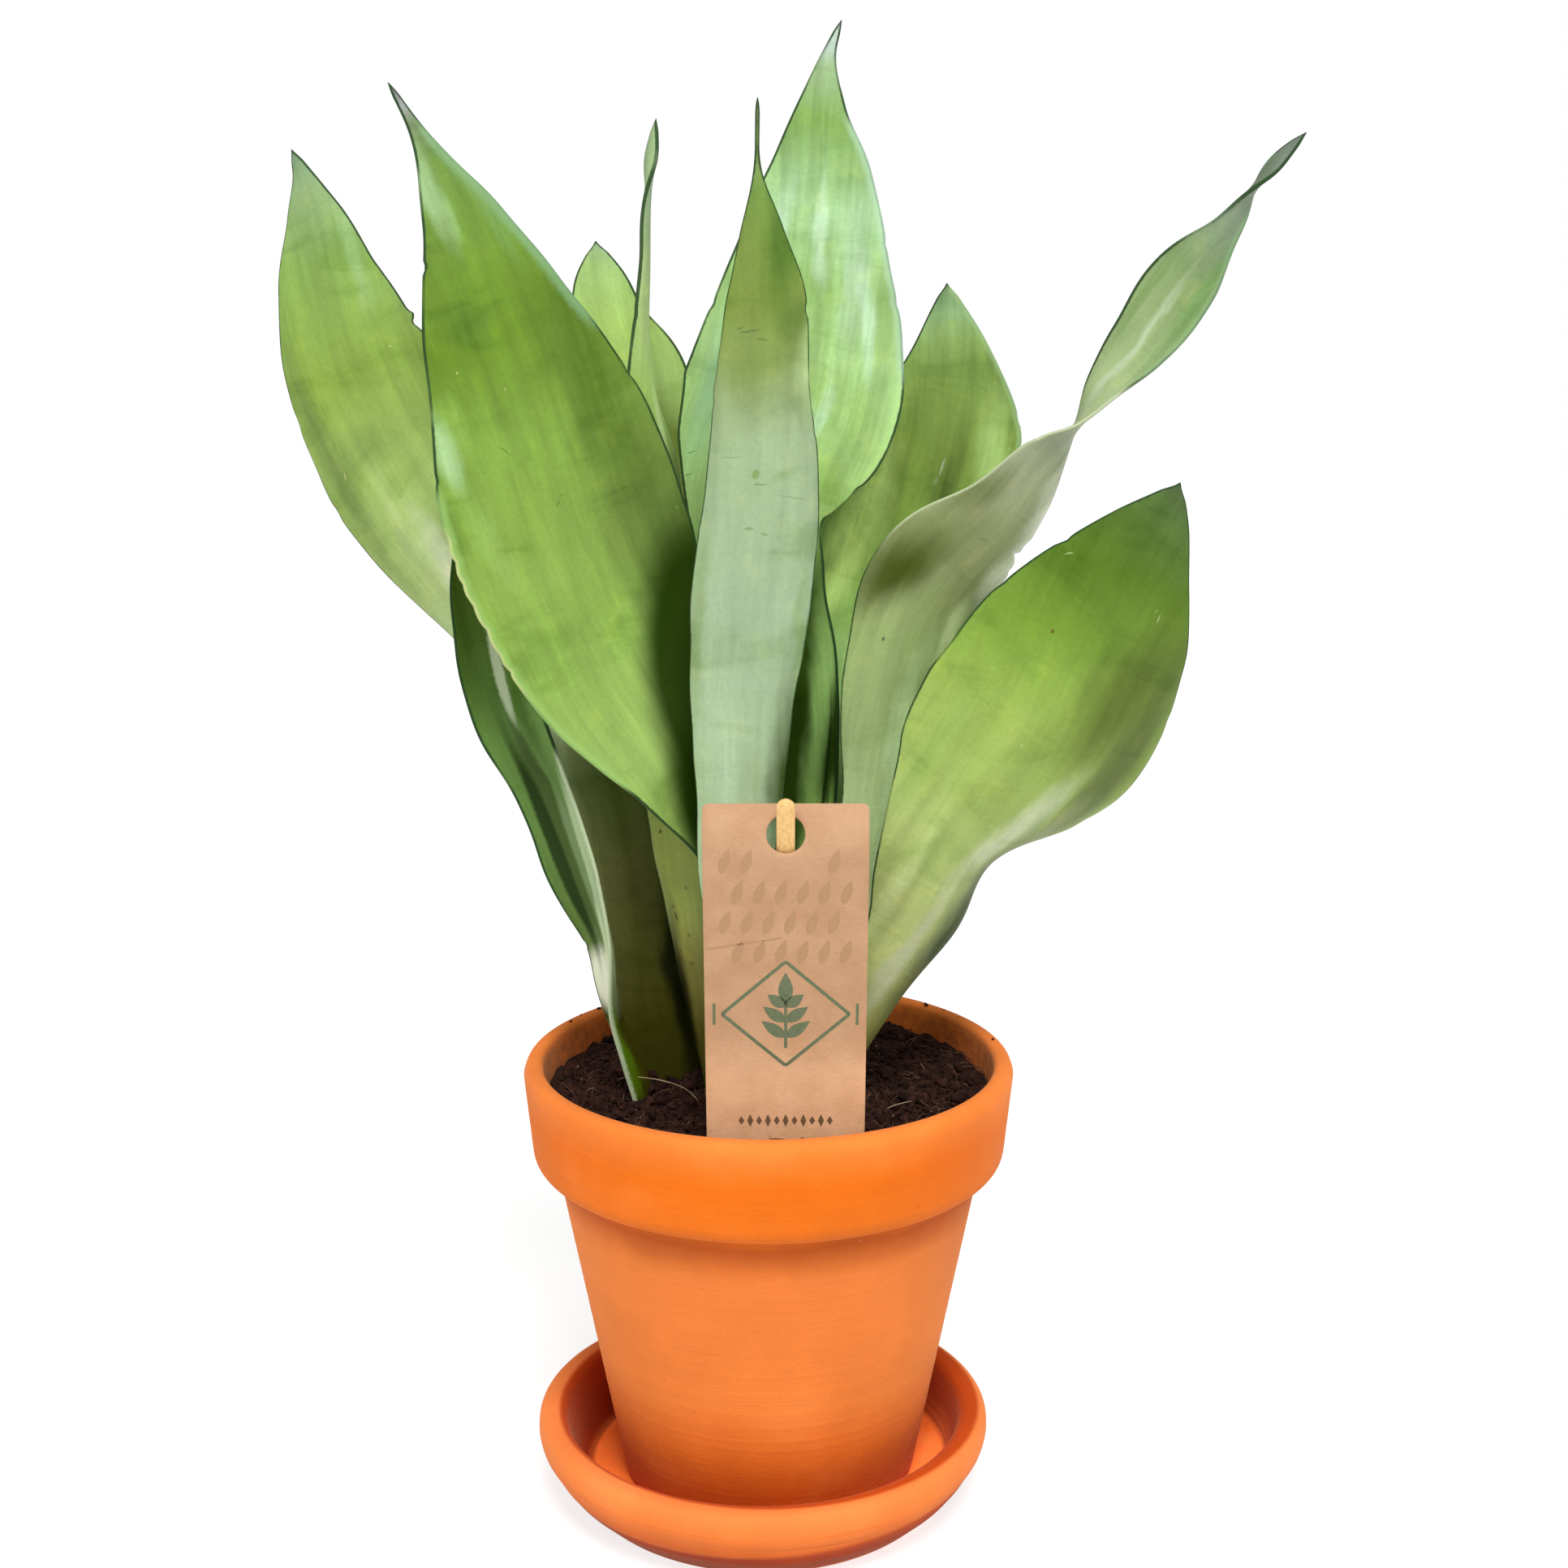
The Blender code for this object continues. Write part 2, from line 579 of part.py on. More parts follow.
def card_solid(name, material, grow=0.0):
    """The bowed card without its hole. grow thickens and widens it, for the slot that it stands in."""
    at, path = smooth_path(CARD_BOW, CARD_ROWS)
    path[0, 1] -= grow
    along = unit(np.gradient(path, at, axis=0))
    out = np.stack([-along[:, 1], along[:, 0]], axis=1) * (CARD_THICKNESS / 2 + grow)
    into_corner = np.clip(CARD_CORNER - (at[-1] - at), 0, None)
    half = CARD_WIDTH / 2 + grow - CARD_CORNER + np.sqrt(CARD_CORNER**2 - into_corner**2)
    points = []
    for side in (1, -1):
        for (y, z), (dy, dz), width in zip(path, out, half):
            points += [(x, y + side * dy, z + side * dz) for x in (-width, width)]
    count = len(at)
    faces = [(0, 1, 2 * count + 1, 2 * count), (2 * count - 2, 2 * count - 1, 4 * count - 1, 4 * count - 2)]
    for i in range(count - 1):
        a, b = 2 * i, 2 * (i + count)
        faces += [(a, a + 1, a + 3, a + 2), (b, b + 1, b + 3, b + 2)]
        faces += [(a, a + 2, b + 2, b), (a + 1, a + 3, b + 3, b + 1)]
    return mesh_object(name, points, faces, material, (CARD_CENTRE_X, 0.0, 0.0))


def card_hole_place():
    """The middle of the card's hole."""
    bow = np.array(CARD_BOW)
    return CARD_CENTRE_X, float(np.interp(CARD_HOLE_Z, bow[:, 1], bow[:, 0])), CARD_HOLE_Z


def make_card(material):
    card = card_solid("label", material)
    ring = ring_points(CARD_HOLE_RADIUS, CARD_HOLE_SIDES)
    punch = prism("hole_in_label", ring, CARD_HOLE_RADIUS, material, card_hole_place())
    cut(card, [cutter(punch)])


def stick_solid(name, material, grow=0.0):
    """The stick, with a rounded top end and a blunt foot. grow makes the slot that it stands in."""
    half, length = STICK_WIDTH / 2 + grow, STICK_BELOW + STICK_ABOVE
    point, widening = STICK_POINT
    outline = [(-half, widening), (-point - grow, -grow), (point + grow, -grow), (half, widening)]
    outline += [(half * math.cos(a), length - half + half * math.sin(a)) for a in np.linspace(0, math.pi, 9)]
    x, y, z = card_hole_place()
    lean = math.radians(STICK_LEAN)
    foot = (x, y + STICK_BELOW * math.sin(lean), z - STICK_BELOW * math.cos(lean))
    return prism(name, outline, STICK_THICKNESS / 2 + grow, material, foot, STICK_LEAN)


def main():
    clear_scene()
    peat = plain_material("peat", PEAT_COLOUR, 0.95)
    make_saucer(plain_material("saucer_clay", CLAY_COLOUR, 0.75))
    make_pot(plain_material("pot_clay", CLAY_COLOUR, 0.75))
    soil = make_soil(peat)
    holes = []
    for name, stations in LEAVES.items():
        make_leaf(name, stations, plain_material(name, LEAF_COLOURS[name], 0.42))
        holes.append(leaf_hole(name, stations, peat))
    make_card(plain_material("kraft_card", KRAFT_COLOUR, 0.85))
    stick_solid("label_stick", plain_material("pale_wood", WOOD_COLOUR, 0.7))
    holes.append(cutter(card_solid("hole_card", peat, SLOT_CLEARANCE)))
    holes.append(cutter(stick_solid("hole_stick", peat, SLOT_CLEARANCE)))
    cut(soil, holes)


main()
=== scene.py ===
"""Moonshine snake plant in a terracotta pot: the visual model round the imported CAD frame.

Every leaf repeats its CAD form from the same stations, with a fine section, rounded margins and nicks. The
pot, the saucer, the soil, the card and the stick are finer versions of their CAD nodes too. All materials are
procedural. Lengths are in millimetres and turned into metres when a mesh is made.
"""
import math

import bmesh
import bpy
import numpy as np
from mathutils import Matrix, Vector, noise
from mathutils.geometry import delaunay_2d_cdt


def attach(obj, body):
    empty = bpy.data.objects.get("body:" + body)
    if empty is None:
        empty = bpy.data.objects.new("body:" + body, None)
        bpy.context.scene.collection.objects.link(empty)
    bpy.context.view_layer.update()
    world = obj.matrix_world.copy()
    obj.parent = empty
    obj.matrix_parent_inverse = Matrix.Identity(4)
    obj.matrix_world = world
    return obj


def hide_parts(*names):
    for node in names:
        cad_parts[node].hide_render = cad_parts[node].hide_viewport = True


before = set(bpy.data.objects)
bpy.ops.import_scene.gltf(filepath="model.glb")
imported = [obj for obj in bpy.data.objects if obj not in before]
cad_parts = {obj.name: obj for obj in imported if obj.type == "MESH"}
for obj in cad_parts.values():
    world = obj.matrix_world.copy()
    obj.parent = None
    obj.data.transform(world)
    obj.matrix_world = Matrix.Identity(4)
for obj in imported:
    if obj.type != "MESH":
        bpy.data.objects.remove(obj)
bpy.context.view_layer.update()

MM = 0.001
rng = np.random.default_rng(7)

# Sizes repeated from the CAD source
GAP = 0.3
SAUCER_SHIFT_X = -1.7
SAUCER_HEIGHT = 24.0
SAUCER_RADIUS = 61.8
SAUCER_RIM_RADIUS = 61.2
SAUCER_MOUTH_RADIUS = 54.2
SAUCER_WELL_RADIUS = 50.2
SAUCER_FOOT_RADIUS = 48.0
SAUCER_FLOOR = 6.7
SAUCER_SHOULDER = (56.8, 8.5)
SAUCER_BELLY = 17.5
POT_BOTTOM = SAUCER_FLOOR + GAP
POT_TOP = 124.0
POT_RIM_RADIUS = 65.0
POT_RIM_DROP = 3.0
POT_MOUTH_RADIUS = 60.0
POT_COLLAR_HEIGHT = 27.0
POT_COLLAR_FOOT_RADIUS = 62.6
POT_COLLAR_TAPER = 3.0
POT_UNDERCUT = 1.5
POT_SHELF_DROP = 4.0
POT_BODY_TOP_RADIUS = 56.6
POT_FOOT_RADIUS = 39.6
POT_WALL = 5.5
POT_FLOOR = 8.0
POT_DRAIN_RADIUS = 7.0
POT_COLLAR_Z = POT_TOP - POT_COLLAR_HEIGHT
POT_SHELF_Z = POT_COLLAR_Z - POT_SHELF_DROP
POT_FLOOR_Z = POT_BOTTOM + POT_FLOOR
SOIL_TOP = 114.5
SOIL_RISE = 1.8
SOIL_BUMP = 1.7
SOIL_CRUMB_SCALES = (0.16, 0.4)
SOIL_WALL = [(POT_COLLAR_Z + 4.0, GAP + 0.6), (POT_SHELF_Z, GAP + 1.4), (POT_FLOOR_Z + GAP, GAP + 4.4)]
SOIL_EDGE_CLEARANCE = GAP + 0.4
CARD_WIDTH = 39.4
CARD_THICKNESS = 0.8
CARD_CORNER = 1.5
CARD_CENTRE_X = 4.5
CARD_HOLE_RADIUS = 4.6
CARD_HOLE_Z = 197.8
CARD_BOW = [
    (-36.0, 100.0), (-40.2, 118.0), (-45.2, 141.0), (-50.0, 164.0), (-53.4, 180.0), (-55.1, 188.5),
    (-55.8, 194.5), (-55.3, 199.5), (-53.0, 204.6),
]
STICK_WIDTH = 4.4
STICK_THICKNESS = 1.6
STICK_POINT = (0.8, 4.0)
STICK_BELOW = 105.0
STICK_ABOVE = 9.6
STICK_LEAN = 19.0
BLADE_EDGE = 0.8
BLADE_MIDDLE = 1.9
BLADE_FOOT = 2.9
BLADE_FOOT_SHARE = 0.45
BLADE_FOOT_CURVE = 1.5
BLADE_SECTION_CURVE = 1.6
BLADE_SLOPE = 0.35
BLADE_TIP_HALF_WIDTH = 0.55
WAVE_HEIGHT = 0.9
WAVE_LENGTH = 52.0
WAVE_LAG = 1.9
WAVE_FROM = 12.0
WAVE_FULL = 26.0
WAVE_CURVE = 3
LEAF_FOOT_Z = 93.0

# Leaf stations from foot to tip, as in the CAD source:
# (x, y, z of the midrib, half width of the blade, where the channelled face looks, how far each half curls)
# On eight leaves most x places and half widths come from a fit to outlines read off the photograph.
LEAVES = {
    "leaf_far_left": [
        (-26.5, 8, LEAF_FOOT_Z, 10, 84, 58), (-28.5, 7.5, 113, 11, 82, 56), (-31.5, 7, 135, 14, 80, 52),
        (-35, 6.5, 158, 15, 78, 48), (-40, 6, 190, 14, 76, 42), (-49, 5, 216, 15, 76, 36),
        (-64, 4, 238, 18, 76, 30), (-83, 5, 263, 22.5, 76, 25), (-97.5, 9, 285, 24, 76, 22),
        (-108.5, 14, 309, 20, 76, 20), (-113, 18, 325, 15, 76, 18), (-116, 20, 342, 8, 76, 14),
        (-118.5, 21, 352, 2.7, 76, 8), (-121, 22, 358, 0.5, 76, 2),
    ],
    "leaf_front_left": [
        (-4, -5, LEAF_FOOT_Z, 7, 272, 56), (-4, -6, 113, 7.5, 274, 55), (-5, -9, 150, 7, 278, 50),
        (-9.5, -12, 180, 7.5, 284, 42), (-21.5, -15, 206, 16, 290, 33), (-36, -16, 230, 25, 293, 28),
        (-47.5, -17, 257, 31, 295, 24), (-55, -17, 284, 29.5, 295, 22), (-64, -16, 312, 21.5, 295, 20),
        (-74, -14, 340, 10, 295, 16), (-83.5, -13, 360, 2, 295, 8), (-90, -12, 371, 0.5, 295, 2),
    ],
    "leaf_left_channelled": [
        (-29.5, -3.5, LEAF_FOOT_Z, 6.5, 166, 52), (-31.5, -4.5, 113, 7.2, 173, 52),
        (-40, -7, 138, 6.5, 195, 50), (-42.5, -10, 159, 7, 220, 50), (-48, -12, 175, 8, 245, 48),
        (-56.5, -13, 199, 8, 262, 45), (-65.5, -13, 221, 10, 268, 42), (-69, -12, 238, 10, 268, 38),
        (-72, -10, 256, 7, 268, 30), (-72, -8, 273, 3.1, 268, 15), (-71, -7, 283, 0.5, 268, 2),
    ],
    "leaf_front_middle": [
        (-6, -15, LEAF_FOOT_Z, 7.5, 90, 58), (-6, -18, 113, 8, 90, 58), (-6.5, -22, 158, 9.2, 90, 52),
        (-8, -26, 182, 10.6, 90, 46), (-7, -28, 199, 11.6, 90, 42), (-6, -31, 227, 14, 90, 38),
        (-4, -33, 249, 15.4, 90, 36), (-1, -33, 277, 14.4, 90, 34), (-1, -33, 304, 11.6, 90, 34),
        (0, -32, 322, 9.6, 90, 32), (-1, -31, 337, 5.1, 90, 30), (-2, -30, 349, 1.2, 90, 15),
        (-2, -30, 366, 0.4, 90, 2),
    ],
    "leaf_tall": [
        (2, 8, LEAF_FOOT_Z, 7.5, 270, 58), (2, 8, 113, 8.3, 270, 58), (4.5, 8, 156, 10, 270, 52),
        (6.5, 10, 192, 12.5, 270, 44), (4.5, 12, 226, 14.5, 270, 34), (-0.5, 14, 250, 15.8, 270, 26),
        (-3, 15, 267, 18.8, 270, 23), (0, 16, 280, 25, 270, 22), (5.5, 17, 294, 28.5, 270, 20),
        (9, 18, 312, 26, 270, 19), (11.5, 19, 332, 20, 270, 18), (13, 20, 352, 13.5, 270, 16),
        (13.5, 20, 368, 6.5, 270, 12), (15.5, 20, 381, 1.8, 270, 5), (18.5, 20, 389, 0.5, 270, 2),
    ],
    "leaf_back_left": [
        (-9, 20, LEAF_FOOT_Z, 6, 270, 58), (-9, 22, 115, 6.3, 270, 58), (-11, 24, 151, 7, 270, 52),
        (-17, 27, 185, 8.5, 270, 42), (-26, 31, 217, 12.2, 270, 32), (-33, 35, 250, 15.8, 270, 24),
        (-37, 38, 280, 18.3, 270, 20), (-38, 40, 299, 17, 270, 18), (-43, 42, 316, 10.4, 270, 16),
        (-45, 43, 328, 6.1, 270, 12), (-46, 44, 336, 0.6, 270, 2),
    ],
    "leaf_narrow": [
        (-9, -2, LEAF_FOOT_Z, 7, 92, 58), (-10, -3, 113, 8, 92, 58), (-14, -5, 149, 11, 92, 52),
        (-20, -5, 190, 12, 95, 42), (-25, -1, 222, 11.5, 100, 34), (-28, 4, 254, 10.5, 115, 30),
        (-29.5, 9, 284, 10.5, 140, 26), (-31.5, 14, 306, 7.7, 165, 22), (-31, 18, 329, 6, 176, 16),
        (-30.5, 20, 347, 3.5, 181, 12), (-29.5, 21, 356, 3, 215, 8), (-28.3, 22, 365.5, 0.6, 215, 2),
    ],
    "leaf_back_right": [
        (16, 12, LEAF_FOOT_Z, 6.5, 266, 58), (17, 12, 113, 7, 265, 58), (19, 13, 155, 7.5, 262, 52),
        (23, 15, 190, 8, 260, 46), (29.5, 20, 222, 14.5, 258, 36), (36.8, 26, 251, 23.8, 256, 28),
        (43.5, 29, 272, 24.5, 256, 24), (47.5, 32, 293, 19, 256, 20), (48, 34, 308, 10.5, 256, 18),
        (47.5, 36, 318, 5, 256, 12), (47, 36, 325, 0.6, 256, 2),
    ],
    "leaf_twisted": [
        (15, 0, LEAF_FOOT_Z, 7, 100, 58), (16, -1, 113, 7.5, 100, 58), (21.5, -5, 158, 7.5, 100, 50),
        (26.5, -8, 195, 8, 98, 40), (31, -11, 226, 12.5, 98, 32), (41.5, -13, 252, 16.5, 100, 26),
        (59.5, -14, 270.5, 10.5, 108, 20), (67.5, -15, 281.5, 8, 128, 15), (76.5, -16, 292, 4.5, 180, 10),
        (81.5, -17, 300, 5, 230, 14), (89, -18, 309.5, 7.5, 262, 18), (100.5, -19, 326.5, 8.5, 270, 20),
        (109.5, -20, 337.5, 3.7, 276, 16), (115, -20, 346, 2.8, 350, 8), (120.5, -20, 352.5, 2.2, 400, 6),
        (127, -20, 359, 0.5, 410, 2),
    ],
    "leaf_front_right": [
        (10, -13, LEAF_FOOT_Z, 6.5, 112, 58), (14, -15, 113, 7.3, 113, 58), (19.5, -16.5, 127, 7, 116, 56),
        (28.5, -19, 145, 9.5, 121, 46), (39.5, -22, 165, 16, 124, 42), (48.5, -25, 183, 24.5, 132, 50),
        (60, -27, 200, 33, 119, 37), (71, -29, 219, 35, 110, 29), (79.5, -30, 240, 28.5, 104, 24),
        (88, -31, 258, 17, 100, 18), (94.5, -31, 270, 7.8, 100, 8), (98.5, -31, 278, 0.6, 100, 2),
    ],
}

# Finer leaf mesh
RING_SPACING = 1.15
INNER_COLUMNS = 33
MARGIN_COLUMNS = (0.0, 0.08, 0.22, 0.45)  # distance from the margin
MARGIN_ROUND = 0.4  # radius of the rounded margin
MARGIN_UNEVEN = ((0.10, 2.9), (0.12, 6.7))  # depth and length of its slight waves
FULL_UNEVEN_FROM = 8.0  # half width
LEAST_HALF_WIDTH = 0.08
TIP_TAPER = 3.0  # length over which the tip comes to a point
TIP_LEAST = 0.15  # share of its width that the tip keeps
RIPPLE = 0.16
RIPPLE_SCALES = (8.3, 5.1)  # along and across
SLANT_SHARE = 0.6
SLANT_SCALES = (3.9, 9.0)
FULL_RIPPLE_FROM = 14.0  # half width
KEEL_HEIGHT = 0.35
KEEL_WIDTH = 2.0
KEEL_SHARES = (0.125, 0.75)  # shares of the length between which it fades out
FULL_KEEL_FROM = 6.0  # half width
PATCH_SOFTNESS = 0.85
MARK_SOFTNESS = 0.5

# Colours that come back on the leaves
DARK_MARGIN = (0.022, 0.055, 0.018)
CREAM = (0.62, 0.50, 0.26)
DEEP_SHADE = (0.012, 0.03, 0.001)
SCRATCH = (0.08, 0.12, 0.03)
SOIL_SPECK = (0.09, 0.045, 0.015)

# How each leaf looks. Colours are linear. They were typed in by hand, guided by median colours that were
# measured in the photograph and in renders.
# inner, outer: (share of the length, red, green, blue) on the channelled and on the other face
# patches: soft areas, (face, along, across, length, width, turn, colour, strength) in mm and degrees.
#   The face is 1 for the channelled one and -1 for the other. Along starts at the foot, across at the midrib.
# marks: the same with a crisp edge
# hems: strips by a margin, (margin 1 or -1, from, to, depth, colour, strength)
# nicks: dents in a margin, (margin 1 or -1, along, depth, half length)
# bands, streaks: strength of the cross bands and of the lengthwise streaks
# Many stops, patches and marks below are painted shade, painted light and painted highlights.
LOOKS = {
    "leaf_far_left": dict(
        slot="leaf_yellow_green",
        inner=[(0, 0.10, 0.15, 0.04), (0.5, 0.24, 0.34, 0.1), (0.8, 0.22, 0.35, 0.06), (1, 0.12, 0.2, 0.1)],
        outer=[
            # The dark stops up to 0.37 of the length are painted shade among the other leaves.
            (0, 0.04, 0.036, 0.004), (0.15, 0.055, 0.055, 0.006), (0.27, 0.09, 0.10, 0.018),
            (0.37, 0.055, 0.08, 0.009), (0.42, 0.12, 0.17, 0.04), (0.52, 0.44, 0.56, 0.28),
            (0.6, 0.37, 0.49, 0.17), (0.7, 0.28, 0.41, 0.095), (0.8, 0.20, 0.315, 0.045),
            (0.9, 0.19, 0.32, 0.065), (0.96, 0.23, 0.35, 0.15), (1, 0.1, 0.18, 0.12),
        ],
        patches=[
            # A pale streak with a painted highlight on it.
            (-1, 157, 6, 90, 13, 5, (0.74, 0.79, 0.57), 0.85),
            (-1, 180, -9, 70, 18, 0, (0.44, 0.62, 0.18), 0.85),
            (-1, 187, 9, 60, 7, 8, (0.36, 0.44, 0.20), 0.5),
            (-1, 216, 18, 130, 12, 0, (0.14, 0.215, 0.05), 0.7),
            (-1, 212, 8, 16, 36, 6, (0.17, 0.25, 0.06), 0.5),
            (-1, 262, -9, 50, 8, 0, (0.30, 0.46, 0.20), 0.6),
            # Painted shade low on the blade.
            (-1, 50, -8, 90, 8, 2, (0.009, 0.011, 0.004), 0.9),
        ],
        marks=[(-1, 232, -12, 0.8, 0.7, 0, CREAM, 0.6), (-1, 209, 15, 2.2, 0.5, 30, CREAM, 0.5)],
        hems=[],
        nicks=[(-1, 238.8, -0.9, 1.2), (-1, 236, 0.7, 1.6), (1, 226, 0.5, 2.0), (1, 204, 0.5, 1.6)],
        bands=0.45,
        streaks=0.2,
    ),
    "leaf_front_left": dict(
        slot="leaf_green",
        inner=[
            (0, 0.08, 0.13, 0.03), (0.3, 0.20, 0.31, 0.07), (0.42, 0.28, 0.43, 0.10),
            (0.52, 0.225, 0.37, 0.066), (0.6, 0.188, 0.31, 0.048), (0.7, 0.175, 0.305, 0.04),
            (0.78, 0.105, 0.20, 0.009), (0.84, 0.12, 0.225, 0.017), (0.89, 0.13, 0.24, 0.03),
            (0.93, 0.125, 0.23, 0.04), (0.953, 0.16, 0.225, 0.10), (0.972, 0.28, 0.29, 0.28),
            (1, 0.08, 0.06, 0.08),
        ],
        outer=[(0, 0.08, 0.1, 0.04), (0.4, 0.25, 0.36, 0.14), (0.8, 0.17, 0.28, 0.06), (1, 0.06, 0.05, 0.05)],
        patches=[
            # The next two patches are painted shade, where the front middle leaf shades this blade.
            (1, 184, 23, 96, 36, -8, (0.085, 0.14, 0.022), 0.9),
            (1, 218, 17, 84, 24, 6, (0.08, 0.15, 0.012), 0.9),
            (1, 236, -6, 20, 16, 20, (0.08, 0.17, 0.012), 0.6),
            (1, 262, 7, 44, 6, 12, (0.17, 0.32, 0.09), 0.5),
            # A painted highlight near the tip.
            (1, 270, -4, 44, 9, 0, (0.32, 0.49, 0.22), 0.75),
            (1, 213, -21, 24, 12, 0, (0.28, 0.47, 0.08), 0.7),
            # A painted highlight by the margin.
            (1, 209, -25, 30, 10, 8, (0.36, 0.55, 0.27), 0.8),
            (1, 184, -20, 34, 11, 10, (0.28, 0.45, 0.10), 0.5),
        ],
        marks=[
            (1, 135, 16, 122, 35, -22, DEEP_SHADE, 0.97),
            (1, 100, 1.5, 54, 28, -8, DEEP_SHADE, 0.97),
            (1, 205, -9.2, 5.4, 0.3, 38, (0.05, 0.11, 0.02), 0.8),
            (1, 189.3, 0.4, 2.6, 0.4, -50, (0.05, 0.11, 0.02), 0.8),
            (1, 190.8, 1.6, 2.2, 0.25, -70, (0.07, 0.14, 0.03), 0.7),
            (1, 226, -14.5, 0.7, 0.6, 0, CREAM, 0.8),
            (1, 219, -4, 0.7, 0.6, 0, CREAM, 0.4),
        ],
        hems=[
            (-1, 152, 190, 0.9, CREAM, 0.9), (-1, 120, 200, 3.0, (0.27, 0.46, 0.12), 0.6),
            (1, 228, 284, 3.4, (0.20, 0.36, 0.17), 0.7),
        ],
        nicks=[
            (-1, 251.7, 0.8, 0.9), (-1, 188, 0.5, 1.2), (-1, 183, 0.7, 1.1), (-1, 178.5, 0.5, 1.0),
            (-1, 174, 0.6, 1.4), (-1, 168, 0.8, 1.2), (-1, 162, 0.5, 1.2), (-1, 158, 0.7, 0.9),
            (-1, 203, 0.4, 1.2), (1, 214, 0.4, 1.5),
        ],
        bands=0.5,
        streaks=0.22,
    ),
    "leaf_left_channelled": dict(
        slot="leaf_dark",
        inner=[
            (0, 0.04, 0.036, 0.003), (0.17, 0.035, 0.036, 0.002), (0.24, 0.045, 0.06, 0.006),
            (0.35, 0.11, 0.195, 0.034), (0.5, 0.09, 0.17, 0.034), (0.64, 0.10, 0.20, 0.035),
            (0.72, 0.065, 0.135, 0.016), (0.85, 0.05, 0.09, 0.008), (1, 0.04, 0.07, 0.02),
        ],
        outer=[
            (0, 0.05, 0.036, 0.003), (0.24, 0.048, 0.05, 0.003), (0.3, 0.34, 0.42, 0.22),
            (1, 0.10, 0.16, 0.05),
        ],
        patches=[
            (1, 138, 4, 50, 5, 0, (0.05, 0.12, 0.006), 0.8),
            (1, 112, 1.0, 46, 4, 0, (0.035, 0.06, 0.01), 0.7),
            (-1, 40, 5.5, 56, 5, 0, (0.09, 0.19, 0.002), 0.8),
        ],
        marks=[
            (1, 56, 0, 26, 22, -14, (0.72, 0.76, 0.56), 0.92),
            # The dark strips along the groove, here and at along 94, are painted shade in the fold.
            (1, 98, -0.2, 84, 6.2, 0, (0.045, 0.075, 0.018), 0.9),
            (1, 92, 3.2, 44, 4.6, 0, (0.13, 0.19, 0.08), 0.85),
            (1, 66, 3.8, 36, 6.4, -2, (0.50, 0.59, 0.33), 0.9),
            (1, 90, 5.6, 58, 4.2, -2, (0.33, 0.43, 0.23), 0.9),
            (1, 94, -3.0, 84, 5.0, 0, (0.016, 0.032, 0.008), 0.95),
            (1, 142, 0.1, 32, 3.6, 2, (0.42, 0.50, 0.31), 0.95),
        ],
        # The first hem is the pale margin, partly a painted highlight.
        hems=[(1, 14, 118, 1.5, (0.45, 0.54, 0.33), 0.85), (-1, 8, 42, 0.8, (0.42, 0.48, 0.22), 0.8)],
        nicks=[(-1, 66, 0.4, 1.0), (1, 80, 0.3, 1.2), (1, 84, 0.3, 1.2)],
        bands=0.3,
        streaks=0.25,
    ),
    "leaf_front_middle": dict(
        slot="leaf_silver",
        inner=[(0, 0.12, 0.17, 0.07), (0.5, 0.24, 0.34, 0.18), (0.85, 0.2, 0.3, 0.1), (1, 0.14, 0.16, 0.08)],
        outer=[
            (0, 0.16, 0.23, 0.1), (0.3, 0.35, 0.49, 0.27), (0.42, 0.35, 0.48, 0.28), (0.55, 0.29, 0.40, 0.24),
            (0.65, 0.27, 0.37, 0.21), (0.71, 0.28, 0.38, 0.21), (0.755, 0.23, 0.31, 0.13),
            (0.79, 0.19, 0.26, 0.07), (0.83, 0.165, 0.235, 0.04), (0.88, 0.17, 0.26, 0.045),
            (0.93, 0.13, 0.23, 0.04), (0.96, 0.19, 0.27, 0.09), (1, 0.16, 0.15, 0.09),
        ],
        patches=[
            (-1, 110, -11.5, 86, 12, 0, (0.045, 0.08, 0.01), 0.97),
            (-1, 150, -13, 50, 6, 0, (0.22, 0.34, 0.14), 0.7),
            (-1, 150, 12.5, 80, 6, 0, (0.22, 0.31, 0.13), 0.7),
            (-1, 214, -11.5, 32, 11, 0, (0.44, 0.60, 0.27), 0.8),
            (-1, 244, -4.5, 56, 14, 4, (0.06, 0.135, 0.012), 0.9),
            (-1, 225, -7, 16, 9, 30, (0.09, 0.16, 0.025), 0.7),
            (-1, 214, 4, 24, 20, 0, (0.17, 0.24, 0.055), 0.7),
            (-1, 105, 4, 70, 8, 0, (0.40, 0.55, 0.35), 0.6),
            (-1, 105, -4.5, 90, 4, 0, (0.30, 0.42, 0.22), 0.6),
        ],
        marks=[
            (-1, 221.5, 3.4, 6.4, 0.6, 78, SCRATCH, 0.7),
            (-1, 219.8, 0.4, 3.4, 0.5, 95, SCRATCH, 0.6),
            (-1, 222.0, 5.8, 2.2, 0.5, 70, SCRATCH, 0.6),
            (-1, 188.6, 1.6, 3.0, 2.2, 10, (0.15, 0.26, 0.06), 0.75),
            (-1, 186.2, 0.6, 4.4, 0.5, 88, (0.12, 0.19, 0.07), 0.7),
            (-1, 175.4, 2.4, 3.2, 0.9, 80, (0.15, 0.24, 0.08), 0.65),
            (-1, 174.6, -1.4, 2.2, 0.8, 96, (0.15, 0.24, 0.08), 0.65),
            (-1, 183.5, -7.4, 9.0, 0.35, 94, (0.15, 0.22, 0.1), 0.6),
            (-1, 192.5, 7.4, 8.0, 0.4, 86, (0.18, 0.26, 0.12), 0.6),
        ],
        hems=[],
        nicks=[(-1, 227.1, 0.7, 1.2), (1, 205, 0.35, 1.2), (1, 212, 0.35, 1.0), (-1, 198, 0.3, 1.2)],
        bands=0.45,
        streaks=0.16,
    ),
    "leaf_tall": dict(
